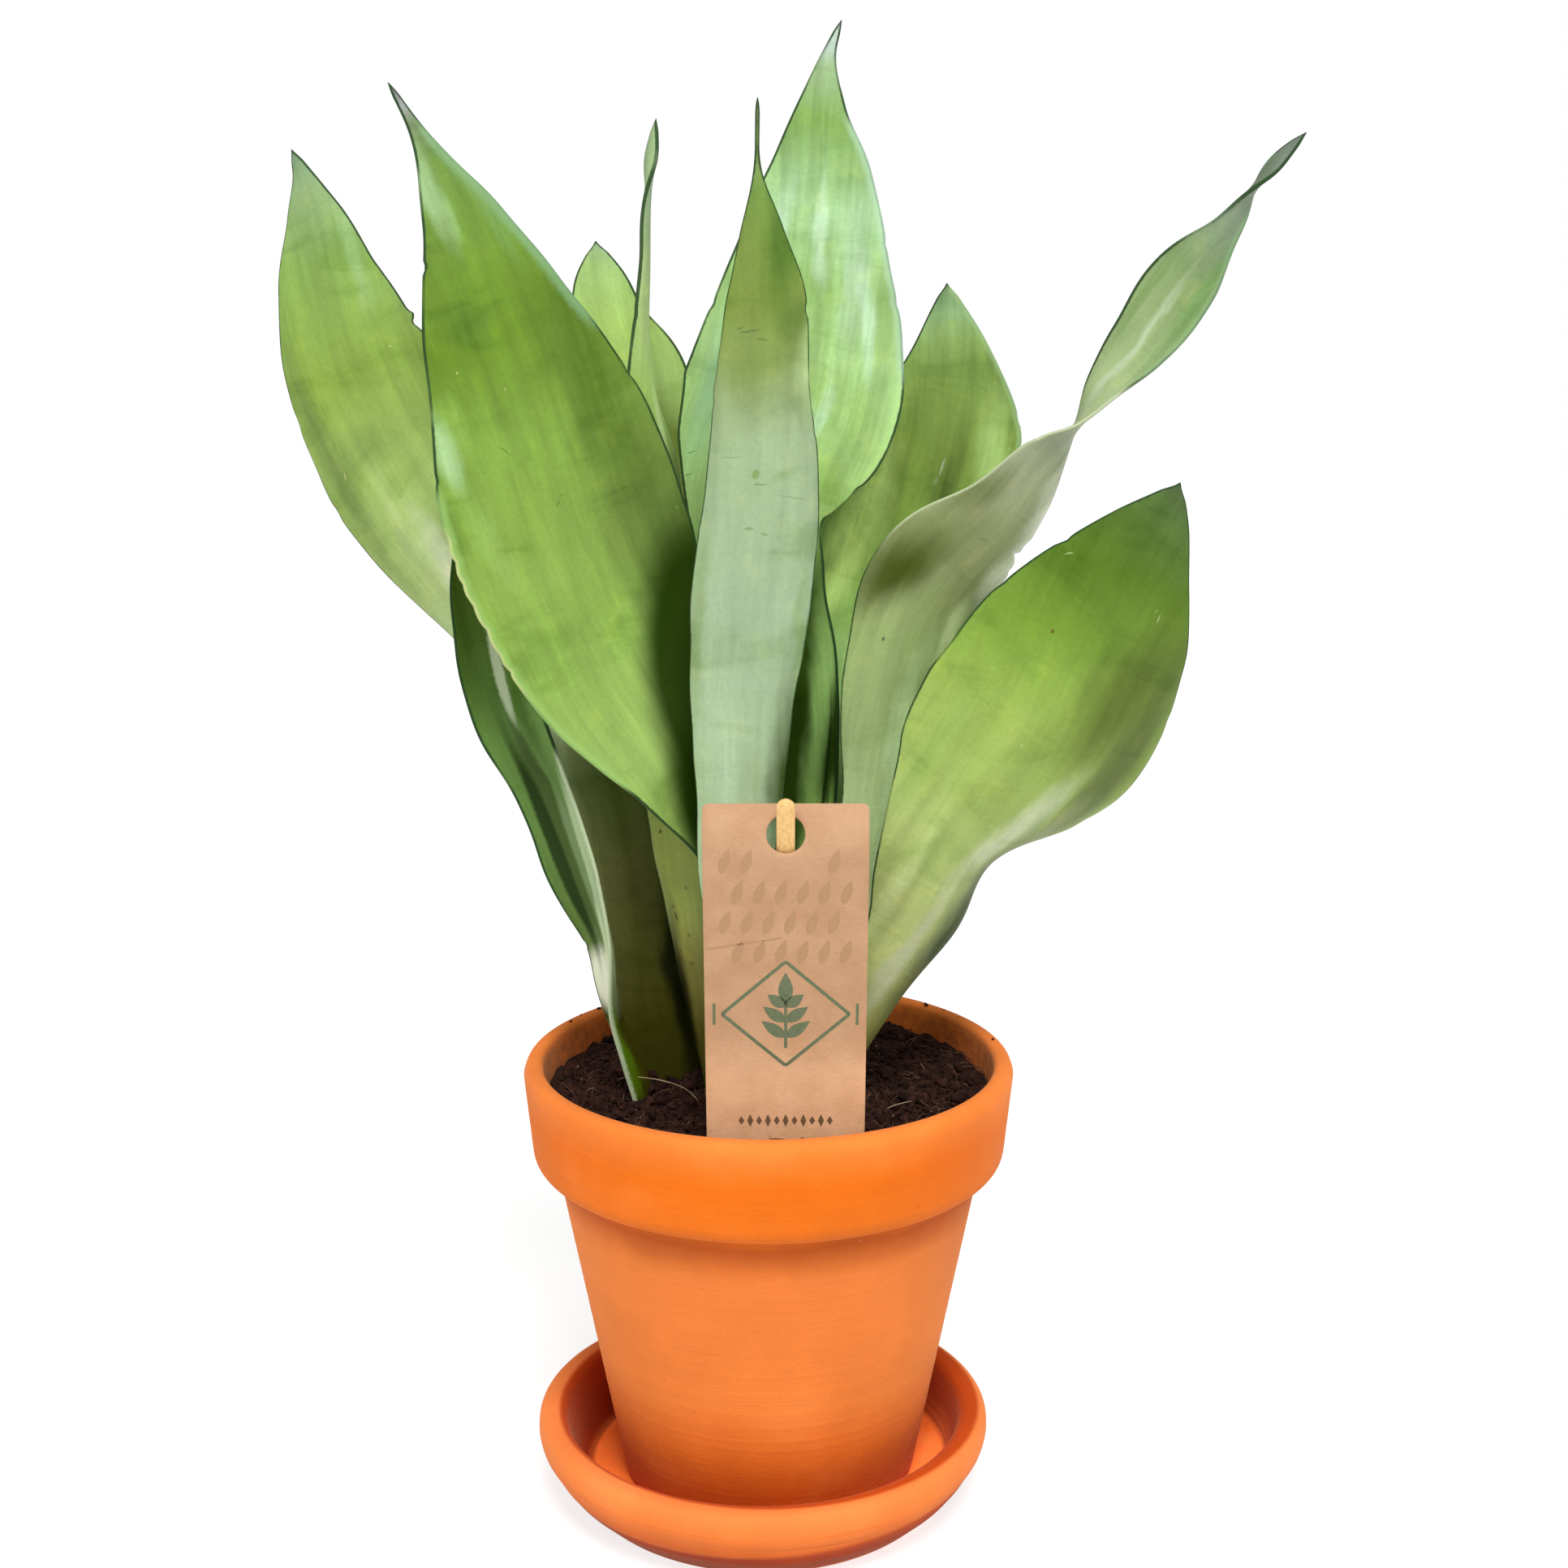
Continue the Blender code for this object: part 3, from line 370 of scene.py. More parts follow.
        slot="leaf_mint",
        inner=[
            # The very dark stops up to half the length are painted shade low in the plant.
            (0, 0.04, 0.08, 0.01), (0.28, 0.026, 0.056, 0.004), (0.42, 0.024, 0.054, 0.004),
            (0.5, 0.04, 0.09, 0.008), (0.54, 0.14, 0.26, 0.06), (0.58, 0.28, 0.45, 0.13),
            (0.65, 0.31, 0.50, 0.16), (0.72, 0.38, 0.60, 0.23), (0.78, 0.255, 0.425, 0.13),
            (0.85, 0.36, 0.57, 0.28), (0.91, 0.19, 0.335, 0.08), (0.955, 0.27, 0.40, 0.2),
            (0.972, 0.34, 0.44, 0.36), (1, 0.5, 0.6, 0.5),
        ],
        outer=[(0, 0.07, 0.12, 0.04), (0.5, 0.22, 0.34, 0.15), (0.9, 0.26, 0.4, 0.18), (1, 0.14, 0.2, 0.14)],
        patches=[
            # The next three patches are painted light on a strip low on the blade, which lies in shade.
            (1, 88, 5.0, 64, 11, -3, (0.30, 0.54, 0.13), 0.85),
            (1, 128, 9.8, 64, 11, -12, (0.36, 0.62, 0.17), 0.85),
            (1, 88, 10.8, 44, 4.5, -4, (0.34, 0.66, 0.11), 0.85),
            # The next six patches are pale streaks, partly painted highlights.
            (1, 197, 2, 34, 5.5, 0, (0.50, 0.72, 0.44), 0.85),
            (1, 203, 8, 30, 6, -6, (0.47, 0.68, 0.42), 0.75),
            (1, 228, 16, 50, 5.5, 12, (0.50, 0.72, 0.46), 0.8),
            (1, 236, 11, 50, 16, 4, (0.44, 0.62, 0.42), 0.5),
            (1, 248, 1.5, 40, 5, 0, (0.52, 0.72, 0.48), 0.8),
            (1, 246, -9, 40, 5.5, -8, (0.46, 0.66, 0.44), 0.75),
            (1, 236, 7, 24, 4, 0, (0.26, 0.45, 0.13), 0.6),
            (1, 219, -1, 12, 40, 5, (0.27, 0.46, 0.11), 0.3),
            (1, 204, -19, 70, 16, 0, (0.22, 0.385, 0.185), 0.9),
            (1, 187, 17, 26, 14, 10, (0.28, 0.46, 0.09), 0.7),
            (1, 205, 19, 20, 12, 0, (0.33, 0.53, 0.13), 0.5),
        ],
        marks=[
            (1, 185, -20, 3.0, 0.4, -60, (0.1, 0.2, 0.07), 0.7),
            (1, 180.5, -19.5, 2.6, 0.4, -70, (0.1, 0.2, 0.07), 0.7),
            (1, 98, 8.6, 70, 1.4, -7, (0.01, 0.03, 0.004), 0.9),
        ],
        hems=[(1, 215, 275, 2.6, (0.42, 0.62, 0.42), 0.6)],
        nicks=[(1, 232, 0.4, 1.4), (1, 246, 0.35, 1.2), (-1, 226, 0.4, 1.4)],
        bands=0.35,
        streaks=0.3,
    ),
    "leaf_back_left": dict(
        slot="leaf_yellow_green",
        inner=[
            (0, 0.1, 0.14, 0.04), (0.6, 0.15, 0.24, 0.05), (0.72, 0.10, 0.145, 0.02),
            (0.79, 0.135, 0.20, 0.028), (0.84, 0.38, 0.55, 0.17), (0.91, 0.43, 0.63, 0.16),
            (0.965, 0.37, 0.56, 0.19), (1, 0.14, 0.22, 0.13),
        ],
        outer=[(0, 0.1, 0.13, 0.04), (0.5, 0.24, 0.34, 0.12), (0.9, 0.27, 0.4, 0.14), (1, 0.1, 0.14, 0.08)],
        patches=[
            (1, 178, 12, 50, 8, 6, (0.24, 0.34, 0.09), 0.6),
            (1, 222, -2, 30, 6, 0, (0.45, 0.66, 0.17), 0.5),
        ],
        marks=[],
        hems=[],
        nicks=[(1, 205, 0.4, 1.2), (-1, 214, 0.4, 1.2)],
        bands=0.3,
        streaks=0.22,
    ),
    "leaf_narrow": dict(
        slot="leaf_yellow_green",
        inner=[(0, 0.06, 0.06, 0.02), (0.5, 0.2, 0.3, 0.1), (0.85, 0.32, 0.46, 0.2), (1, 0.28, 0.40, 0.2)],
        outer=[
            # The dark stops at the foot, up to 0.14 of the length, are painted shade.
            (0, 0.07, 0.05, 0.01), (0.14, 0.09, 0.08, 0.012), (0.21, 0.20, 0.20, 0.04),
            (0.28, 0.30, 0.36, 0.075), (0.36, 0.26, 0.33, 0.06), (0.45, 0.2, 0.27, 0.05),
            (0.69, 0.14, 0.22, 0.03), (0.75, 0.38, 0.58, 0.14), (0.85, 0.45, 0.62, 0.25),
            (0.92, 0.28, 0.40, 0.21), (0.97, 0.28, 0.34, 0.22), (1, 0.13, 0.17, 0.14),
        ],
        patches=[
            (-1, 205, -4, 50, 5, 0, (0.46, 0.62, 0.28), 0.6),
            # Painted shadow of the far left leaf along one side.
            (-1, 44, 10.2, 88, 8.5, 0, (0.01, 0.008, 0.002), 0.97),
        ],
        marks=[
            (-1, 95.2, 8.4, 1.6, 1.1, 20, (0.09, 0.05, 0.015), 0.85),
            (-1, 71.9, 8.0, 3.2, 0.8, -12, SOIL_SPECK, 0.8),
            (-1, 74.6, 8.6, 1.6, 0.7, 60, SOIL_SPECK, 0.7),
            (-1, 66.7, 5.1, 1.3, 0.8, 0, SOIL_SPECK, 0.7),
            (-1, 58.9, 5.5, 1.2, 0.8, 0, SOIL_SPECK, 0.7),
            (-1, 79.6, 4.1, 1.0, 0.7, 0, SOIL_SPECK, 0.7),
            (-1, 62.0, 8.4, 0.9, 0.6, 0, SOIL_SPECK, 0.6),
            (-1, 54.0, 7.2, 0.9, 0.6, 0, SOIL_SPECK, 0.6),
        ],
        hems=[],
        nicks=[(1, 226, 0.35, 1.2)],
        bands=0.25,
        streaks=0.25,
    ),
    "leaf_back_right": dict(
        slot="leaf_green",
        inner=[
            (0, 0.09, 0.15, 0.04), (0.4, 0.26, 0.42, 0.14), (0.56, 0.30, 0.48, 0.16),
            (0.63, 0.26, 0.42, 0.10), (0.7, 0.19, 0.31, 0.05), (0.8, 0.165, 0.25, 0.04),
            (0.88, 0.19, 0.30, 0.06), (0.93, 0.23, 0.36, 0.095), (0.965, 0.25, 0.41, 0.17),
            (1, 0.14, 0.23, 0.10),
        ],
        outer=[
            (0, 0.09, 0.13, 0.04), (0.5, 0.22, 0.33, 0.13), (0.9, 0.22, 0.34, 0.12), (1, 0.08, 0.12, 0.08),
        ],
        patches=[
            (1, 184, 4, 52, 8, -3, (0.10, 0.155, 0.025), 0.85),
            (1, 184, -7, 40, 8, 2, (0.18, 0.28, 0.04), 0.6),
            (1, 190, 15, 60, 14, 6, (0.38, 0.57, 0.17), 0.85),
            # Painted light on the left part, which lies in the shade of other leaves.
            (1, 168, -16, 64, 17, -4, (0.74, 1.0, 0.30), 0.93),
            (1, 166, 10, 20, 10, 0, (0.24, 0.34, 0.12), 0.6),
        ],
        marks=[
            (1, 189, 1.4, 6.0, 0.8, -6, (0.36, 0.46, 0.28), 0.8),
            (1, 185, 0.6, 3.0, 1.4, -6, (0.24, 0.33, 0.15), 0.6),
        ],
        hems=[(1, 188, 240, 1.6, (0.34, 0.52, 0.22), 0.6)],
        nicks=[(1, 196.4, 0.6, 1.3), (1, 188, 0.4, 1.0), (1, 203, 0.35, 1.0), (-1, 163, -3.6, 10)],
        bands=0.4,
        streaks=0.3,
    ),
    "leaf_twisted": dict(
        slot="leaf_silver",
        inner=[
            (0, 0.1, 0.15, 0.06), (0.55, 0.26, 0.33, 0.16), (0.66, 0.36, 0.40, 0.26),
            (0.74, 0.28, 0.36, 0.17), (0.79, 0.24, 0.33, 0.14), (0.86, 0.21, 0.31, 0.12),
            (0.905, 0.18, 0.25, 0.15), (0.95, 0.16, 0.2, 0.15), (1, 0.16, 0.18, 0.16),
        ],
        outer=[
            # The pale stops at 0.25 and 0.36 are painted light, where the front right leaf shades the blade.
            (0, 0.16, 0.22, 0.08), (0.25, 0.46, 0.61, 0.28), (0.36, 0.46, 0.60, 0.28),
            (0.42, 0.37, 0.50, 0.20), (0.47, 0.31, 0.41, 0.15), (0.51, 0.26, 0.33, 0.12),
            (0.56, 0.24, 0.28, 0.12), (0.61, 0.29, 0.33, 0.16), (0.66, 0.36, 0.40, 0.24),
            (0.7, 0.32, 0.37, 0.23), (1, 0.1, 0.13, 0.1),
        ],
        patches=[
            # The next two patches are painted shadow under the blade's fold.
            (-1, 168, 8, 50, 24, 27, (0.16, 0.19, 0.06), 0.8),
            (-1, 160, 9.5, 34, 18, 26, (0.04, 0.062, 0.001), 0.9),
            (-1, 150, -10, 40, 8, 0, (0.60, 0.72, 0.36), 0.7),
            (-1, 216, -3.5, 46, 4, 0, (0.20, 0.28, 0.11), 0.6),
            # More painted shadow under the fold.
            (-1, 187, 9, 34, 13, 14, (0.13, 0.16, 0.05), 0.8),
            # Painted light where the front right leaf shades the blade.
            (-1, 108, -5.0, 100, 9, 0, (0.66, 0.88, 0.46), 0.8),
            (-1, 186, -12.5, 76, 15, -10, (0.86, 0.92, 0.70), 0.9),
            (1, 236, 0.0, 70, 2.6, 0, (0.40, 0.48, 0.32), 0.6),
            (1, 246, -5, 40, 4, 0, (0.15, 0.28, 0.07), 0.6),
            (1, 256, 5.5, 54, 7, 0, (0.11, 0.23, 0.06), 0.7),
        ],
        marks=[
            (-1, 145, 5.4, 1.3, 1.0, 0, (0.05, 0.07, 0.04), 0.8),
            (-1, 178.5, -0.7, 3.4, 0.7, 60, (0.14, 0.17, 0.1), 0.6),
        ],
        hems=[
            (1, 165, 228, 0.9, (0.5, 0.56, 0.34), 0.8), (-1, 160, 194, 1.6, (0.85, 0.87, 0.74), 0.9),
            (1, 232, 290, 1.6, (0.20, 0.33, 0.16), 0.6),
        ],
        nicks=[(-1, 181.8, 2.2, 1.1), (-1, 184.5, 1.2, 0.8), (-1, 178.6, 0.7, 1.0), (1, 206, 0.4, 1.4)],
        bands=0.25,
        streaks=0.22,
    ),
    "leaf_front_right": dict(
        slot="leaf_yellow_green",
        inner=[(0, 0.1, 0.1, 0.04), (0.4, 0.25, 0.36, 0.12), (0.8, 0.16, 0.27, 0.05), (1, 0.04, 0.06, 0.02)],
        outer=[
            (0, 0.22, 0.1, 0.02), (0.14, 0.11, 0.07, 0.01), (0.22, 0.23, 0.24, 0.06),
            (0.32, 0.38, 0.44, 0.16), (0.42, 0.38, 0.46, 0.155), (0.5, 0.33, 0.42, 0.125),
            (0.58, 0.27, 0.37, 0.085), (0.66, 0.24, 0.345, 0.065), (0.72, 0.21, 0.33, 0.05),
            (0.79, 0.13, 0.235, 0.02), (0.88, 0.08, 0.155, 0.008), (0.97, 0.075, 0.135, 0.03),
            (1, 0.06, 0.09, 0.04),
        ],
        patches=[
            (-1, 140, -25, 100, 24, 0, (0.085, 0.12, 0.018), 0.88),
            (-1, 152, -13, 62, 30, 20, (0.085, 0.125, 0.014), 0.87),
            (-1, 112, -18, 40, 9, 14, (0.30, 0.33, 0.15), 0.6),
            (-1, 130, 9, 34, 14, 0, (0.33, 0.44, 0.10), 0.6),
            # Painted light in a shaded place.
            (-1, 86, 13, 50, 8, 0, (0.55, 0.65, 0.27), 0.75),
            # Painted shade on the folded-back wing at the foot.
            (-1, 78, -11.5, 100, 25, 6, (0.035, 0.055, 0.006), 0.97),
            # The next two patches are the pale keel, partly a painted highlight on its crease.
            (-1, 112, -7, 58, 14, 22, (0.50, 0.57, 0.34), 0.92),
            (-1, 70, 2, 70, 8, 5, (0.43, 0.47, 0.28), 0.85),
            (-1, 122, 24, 60, 9, 4, (0.24, 0.38, 0.08), 0.5),
        ],
        marks=[
            (-1, 175.5, -12.3, 3.0, 0.35, -8, (0.35, 0.42, 0.2), 0.8),
            (-1, 177, -10.8, 1.4, 0.35, 10, (0.35, 0.42, 0.2), 0.7),
            (-1, 162.9, 11, 1.3, 1.1, 0, (0.10, 0.06, 0.01), 0.85),
            (-1, 180.5, 15.5, 2.4, 0.4, 50, (0.4, 0.5, 0.25), 0.7),
            (-1, 133.6, 6, 1.2, 0.8, 0, (0.4, 0.5, 0.2), 0.5),
        ],
        hems=[],
        nicks=[
            (1, 182.8, 0.6, 1.2), (1, 168, 0.3, 1.2), (-1, 150, 0.4, 1.6), (-1, 110, 0.6, 2.0),
            (-1, 104, 0.5, 1.4),
        ],
        bands=0.4,
        streaks=0.16,
    ),
}


class Shade:
    """A node material. Each call adds a node and returns the output that other nodes read."""

    def __init__(self, name):
        self.material = bpy.data.materials.new(name)
        self.material.use_nodes = True
        self.tree = self.material.node_tree
        self.shader = self.tree.nodes["Principled BSDF"]

    def put(self, socket, value):
        """Links an output to a socket, or sets the socket's own value."""
        if isinstance(value, bpy.types.NodeSocket):
            self.tree.links.new(value, socket)
        elif isinstance(value, tuple) and len(value) == 3 and socket.type == "RGBA":
            socket.default_value = (*value, 1.0)
        else:
            socket.default_value = value

    def own(self, values):
        """Sets or links the shader's own sockets, by name."""
        for name, value in values.items():
            self.put(self.shader.inputs[name], value)

    def node(self, kind, inputs, **settings):
        """Adds a node, with its settings and then its inputs by name or number."""
        node = self.tree.nodes.new("ShaderNode" + kind)
        for key, value in settings.items():
            setattr(node, key, value)
        for key, value in inputs.items():
            self.put(node.inputs[key], value)
        return node

    def attribute(self, name):
        return self.node("Attribute", {}, attribute_name=name).outputs["Vector"]

    def place_mm(self):
        """The object's own coordinates in millimetres."""
        where = self.node("TexCoord", {}).outputs["Object"]
        return self.stretch(where, (1 / MM, 1 / MM, 1 / MM))

    def split(self, vector):
        return self.node("SeparateXYZ", {0: vector}).outputs

    def join(self, x, y, z=0.0):
        return self.node("CombineXYZ", {0: x, 1: y, 2: z}).outputs[0]

    def stretch(self, vector, scale):
        return self.node("Mapping", {"Vector": vector, "Scale": scale}).outputs[0]

    def math(self, operation, a, b=0.0, c=0.0):
        return self.node("Math", {0: a, 1: b, 2: c}, operation=operation).outputs[0]

    def times(self, product, *factors):
        """The product of two or more numbers."""
        for factor in factors:
            product = self.math("MULTIPLY", product, factor)
        return product

    def weigh(self, a, b, share):
        """Two numbers added by their shares, where the second one's is given."""
        return self.math("ADD", self.times(a, 1 - share), self.times(b, share))

    def sway(self, value, by, width):
        """A value shifted to and fro by a noise, over that width in all."""
        return self.math("MULTIPLY_ADD", by, width, self.math("SUBTRACT", value, width / 2))

    def noise(self, vector, scale=1.0, detail=2.0, roughness=0.5, distortion=0.0):
        inputs = {
            "Vector": vector, "Scale": scale, "Detail": detail, "Roughness": roughness,
            "Distortion": distortion,
        }
        return self.node("TexNoise", inputs).outputs["Fac"]

    def remap(self, value, low, high, to_low=0.0, to_high=1.0, smooth=True):
        """A value between low and high, read as one between to_low and to_high and held there."""
        kind = "SMOOTHSTEP" if smooth else "LINEAR"
        inputs = {"Value": value, "From Min": low, "From Max": high, "To Min": to_low, "To Max": to_high}
        return self.node("MapRange", inputs, interpolation_type=kind).outputs[0]

    def vary(self, noise, low=0.0, high=1.0):
        """Reads the usual range of a noise as one between low and high."""
        return self.remap(noise, 0.3, 0.7, low, high)

    def ramp(self, value, stops):
        """A colour from stops of (place, red, green, blue)."""
        node = self.node("ValToRGB", {0: value})
        band = node.color_ramp
        while len(band.elements) < len(stops):
            band.elements.new(1.0)
        for element, (place, *colour) in zip(band.elements, stops):
            element.position = place
            element.color = (*colour, 1.0)
        return node.outputs[0]

    def mix(self, share, a, b, blend="MIX"):
        node = self.node("Mix", {0: share, 6: a, 7: b}, data_type="RGBA", blend_type=blend)
        return node.outputs[2]

    def tint(self, share, colour, by):
        """A colour multiplied by another one, by that share."""
        return self.mix(share, colour, by, "MULTIPLY")

    def tone(self, colour, amount):
        """A colour made darker or lighter by a number."""
        return self.tint(1.0, colour, self.join(amount, amount, amount))

    def spot(self, vector, place, size, turn, soft):
        """1 inside an ellipse of that size round a place, falling to 0 at its edge."""
        inputs = {
            "Vector": vector,
            "Location": (*place, 0.0),
            "Rotation": (0.0, 0.0, math.radians(turn)),
            "Scale": (size[0] / 2, size[1] / 2, 1.0),
        }
        inside = self.node("Mapping", inputs, vector_type="TEXTURE").outputs[0]
        far = self.node("VectorMath", {0: inside}, operation="LENGTH").outputs["Value"]
        return self.remap(far, 1.0, 1.0 - soft)

    def specks(self, colour, where, scale, radii, rarity, paint, strength):
        """Sparse dots in a few of the texture's cells. They fade from the inner radius to the outer one."""
        cells = self.node("TexVoronoi", {"Vector": where, "Scale": scale})
        core, rim = radii
        dot = self.remap(cells.outputs["Distance"], rim, core)
        some = self.remap(self.split(cells.outputs["Color"])[0], rarity, rarity + 0.01)
        return self.mix(self.times(dot, some, strength), colour, paint)

    def bump(self, height, distance, strength=1.0, onto=None):
        inputs = {"Height": height, "Distance": distance, "Strength": strength}
        if onto is not None:
            inputs["Normal"] = onto
        return self.node("Bump", inputs).outputs[0]

    def finish(self, colour, roughness, normal=None):
        """Gives the shader its colour, roughness and normal, and returns the material."""
        self.own({"Base Color": colour, "Roughness": roughness})
        if normal is not None:
            self.own({"Normal": normal})
        return self.material


def mesh_piece(name, points_mm, faces, material, node=None, vectors=None):
    """A smooth mesh piece on the root body, with vector attributes by name, which may replace a CAD node."""
    mesh = bpy.data.meshes.new(name)
    mesh.from_pydata((np.asarray(points_mm, float) * MM).tolist(), [], faces)
    mesh.shade_smooth()
    for key, values in (vectors or {}).items():
        attribute = mesh.attributes.new(key, "FLOAT_VECTOR", "POINT")
        attribute.data.foreach_set("vector", np.asarray(values, np.float32).ravel())
    mesh.materials.append(material)
    mesh.validate()
    obj = bpy.data.objects.new(name, mesh)
    bpy.context.scene.collection.objects.link(obj)
    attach(obj, "root")
    if node:
        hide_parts(node)
    return obj


def smooth(knots, values, at):
    """Values at the knots joined by the same smooth curve as in the CAD source, read at the places given."""
    h = np.diff(knots)[:, None]
    slope = np.diff(values, axis=0) / h
    middle = (slope[1:] * h[:-1] + slope[:-1] * h[1:]) / (h[:-1] + h[1:])
    lean = np.concatenate([slope[:1], middle, slope[-1:]])
    i = np.clip(np.searchsorted(knots, at, side="right") - 1, 0, len(h) - 1)
    t = (at - knots[i])[:, None] / h[i]
    start, end = values[i], values[i + 1]
    bend = lean[i] * (t - 2 * t**2 + t**3) + lean[i + 1] * (t**3 - t**2)
    return start + (end - start) * (3 * t**2 - 2 * t**3) + h[i] * bend


def path_lengths(points):
    """How far along the path through some points each of them lies."""
    return np.concatenate([[0.0], np.cumsum(np.linalg.norm(np.diff(points, axis=0), axis=1))])


def smooth_path(stations, spacing):
    """Even places along the stations' path, and the smooth rows there."""
    table = np.array(stations, float)
    knots = path_lengths(table[:, :3])
    at = np.linspace(0.0, knots[-1], int(round(knots[-1] / spacing)) + 1)
    return at, smooth(knots, table, at)


def unit(vectors):
    return vectors / np.linalg.norm(vectors, axis=-1, keepdims=True)


def blade_thickness(share, half, u):
    """Thick along the midrib, thickest at the foot, and thin at both margins."""
    thinning = np.clip(1 - share / BLADE_FOOT_SHARE, 0, 1) ** BLADE_FOOT_CURVE
    rib = BLADE_MIDDLE + (BLADE_FOOT - BLADE_MIDDLE) * thinning
    rib = np.minimum(rib, BLADE_EDGE + BLADE_SLOPE * half)
    return BLADE_EDGE + (rib - BLADE_EDGE) * (1 - np.abs(u) ** BLADE_SECTION_CURVE)


def margin_wave(at, half, u, phase):
    """How far a broad blade waves out of its own surface towards its margins."""
    broad = np.clip((half - WAVE_FROM) / (WAVE_FULL - WAVE_FROM), 0, 1)
    turn = 2 * math.pi * at / WAVE_LENGTH + phase + WAVE_LAG * np.sign(u)
    return WAVE_HEIGHT * broad * np.abs(u) ** WAVE_CURVE * np.sin(turn)


def fine_ripple(at, across, half, phase):
    """How far the blade's surface rises and falls between its margins."""
    along_scale, across_scale = RIPPLE_SCALES
    ripple = np.sin(at / along_scale + phase) * np.sin(across / across_scale + 2 * phase)
    ripple = ripple + SLANT_SHARE * np.sin(at / SLANT_SCALES[0] + across / SLANT_SCALES[1])
    return RIPPLE * ripple * np.clip(half / FULL_RIPPLE_FROM, 0, 1)


def margin_dents(at, half, margin, nicks, phase):
    """How far a margin is set in along its length, by its slight unevenness and its nicks."""
    (fine, fine_length), (broad, broad_length) = MARGIN_UNEVEN
    uneven = fine * np.sin(at / fine_length + 3 * phase + margin)
    uneven = uneven + broad * np.sin(at / broad_length + phase * 5 - margin)
    dents = uneven * np.clip(half / FULL_UNEVEN_FROM, 0, 1)
    for side, place, depth, length in nicks:
        if side == margin:
            dents = dents + depth * np.exp(-(((at - place) / length) ** 2))
    return dents


def blade_columns(half_left, half_right):
    """Places across the blade for each ring, from margin to margin, and their distance to the margin."""
    tight = np.clip(np.minimum(half_left, half_right) / 1.2, 0.05, 1.0)[:, None]
    rim = np.array(MARGIN_COLUMNS)[None, :] * tight
    left = -half_left[:, None] + rim
    right = half_right[:, None] - rim[:, ::-1]
    t = np.linspace(0, 1, INNER_COLUMNS + 2)[1:-1][None, :]
    inner = left[:, -1:] + (right[:, :1] - left[:, -1:]) * t
    across = np.concatenate([left, inner, right], axis=1)
    to_margin = np.minimum(across + half_left[:, None], half_right[:, None] - across)
    return across, to_margin


def blade_directions(at, rows):
    """For each ring, where the channelled face looks and the way across the blade."""
    face = np.radians(rows[:, 4])
    tangent = unit(np.gradient(rows[:, :3], at, axis=0))
    looks = np.stack([np.cos(face), np.sin(face), np.zeros(len(at))], axis=1)
    looks = unit(looks - tangent * (looks * tangent).sum(axis=1)[:, None])
    return looks, np.cross(tangent, looks)


def blade_surface(at, rows, across, half, u, phase):
    """The blade's curved and rippled middle surface, and its normals."""
    looks, side_way = (directions[:, None, :] for directions in blade_directions(at, rows))
    curl = np.radians(np.maximum(rows[:, 5], 0.5))[:, None]
    angle = (across / half * curl)[:, :, None]
    radius = (half / curl)[:, :, None]
    normal = looks * np.cos(angle) - side_way * np.sin(angle)
    surface = rows[:, None, :3] + side_way * radius * np.sin(angle) + looks * radius * (1 - np.cos(angle))
    push = margin_wave(at[:, None], half, u, phase) + fine_ripple(at[:, None], across, half, phase)
    return surface + normal * push[:, :, None], normal


def make_blade(node, stations, look, material):
    """A leaf: rings of a closed section with rounded margins round the CAD leaf's curved midrib."""
    phase = stations[0][0]
    at, rows = smooth_path(stations, RING_SPACING)
    share = (at / at[-1])[:, None]
    taper = np.sqrt(np.clip((at[-1] - at) / TIP_TAPER, TIP_LEAST**2, 1.0))
    half = np.maximum(rows[:, 3], BLADE_TIP_HALF_WIDTH)
    sides = [half * taper - margin_dents(at, half, m, look["nicks"], phase) for m in (-1, 1)]
    across, to_margin = blade_columns(*np.maximum(sides, LEAST_HALF_WIDTH))
    half = half[:, None]
    u = np.clip(across / half, -1, 1)
    surface, normal = blade_surface(at, rows, across, half, u, phase)
    inward = np.clip(to_margin / np.minimum(MARGIN_ROUND, 0.6 * half), 0, 1)
    thickness = blade_thickness(share, half, u) * taper[:, None] * np.sqrt(1 - (1 - inward) ** 2)
    full, gone = KEEL_SHARES
    keel = KEEL_HEIGHT * np.exp(-((across / KEEL_WIDTH) ** 2)) * np.clip((gone - share) / (gone - full), 0, 1)
    keel = keel * np.clip(half / FULL_KEEL_FROM, 0, 1)
    front = surface + normal * (thickness / 2)[:, :, None]
    back = surface - normal * (thickness / 2 + keel)[:, :, None]
    return blade_piece(node, material, front, back, at, across, to_margin)


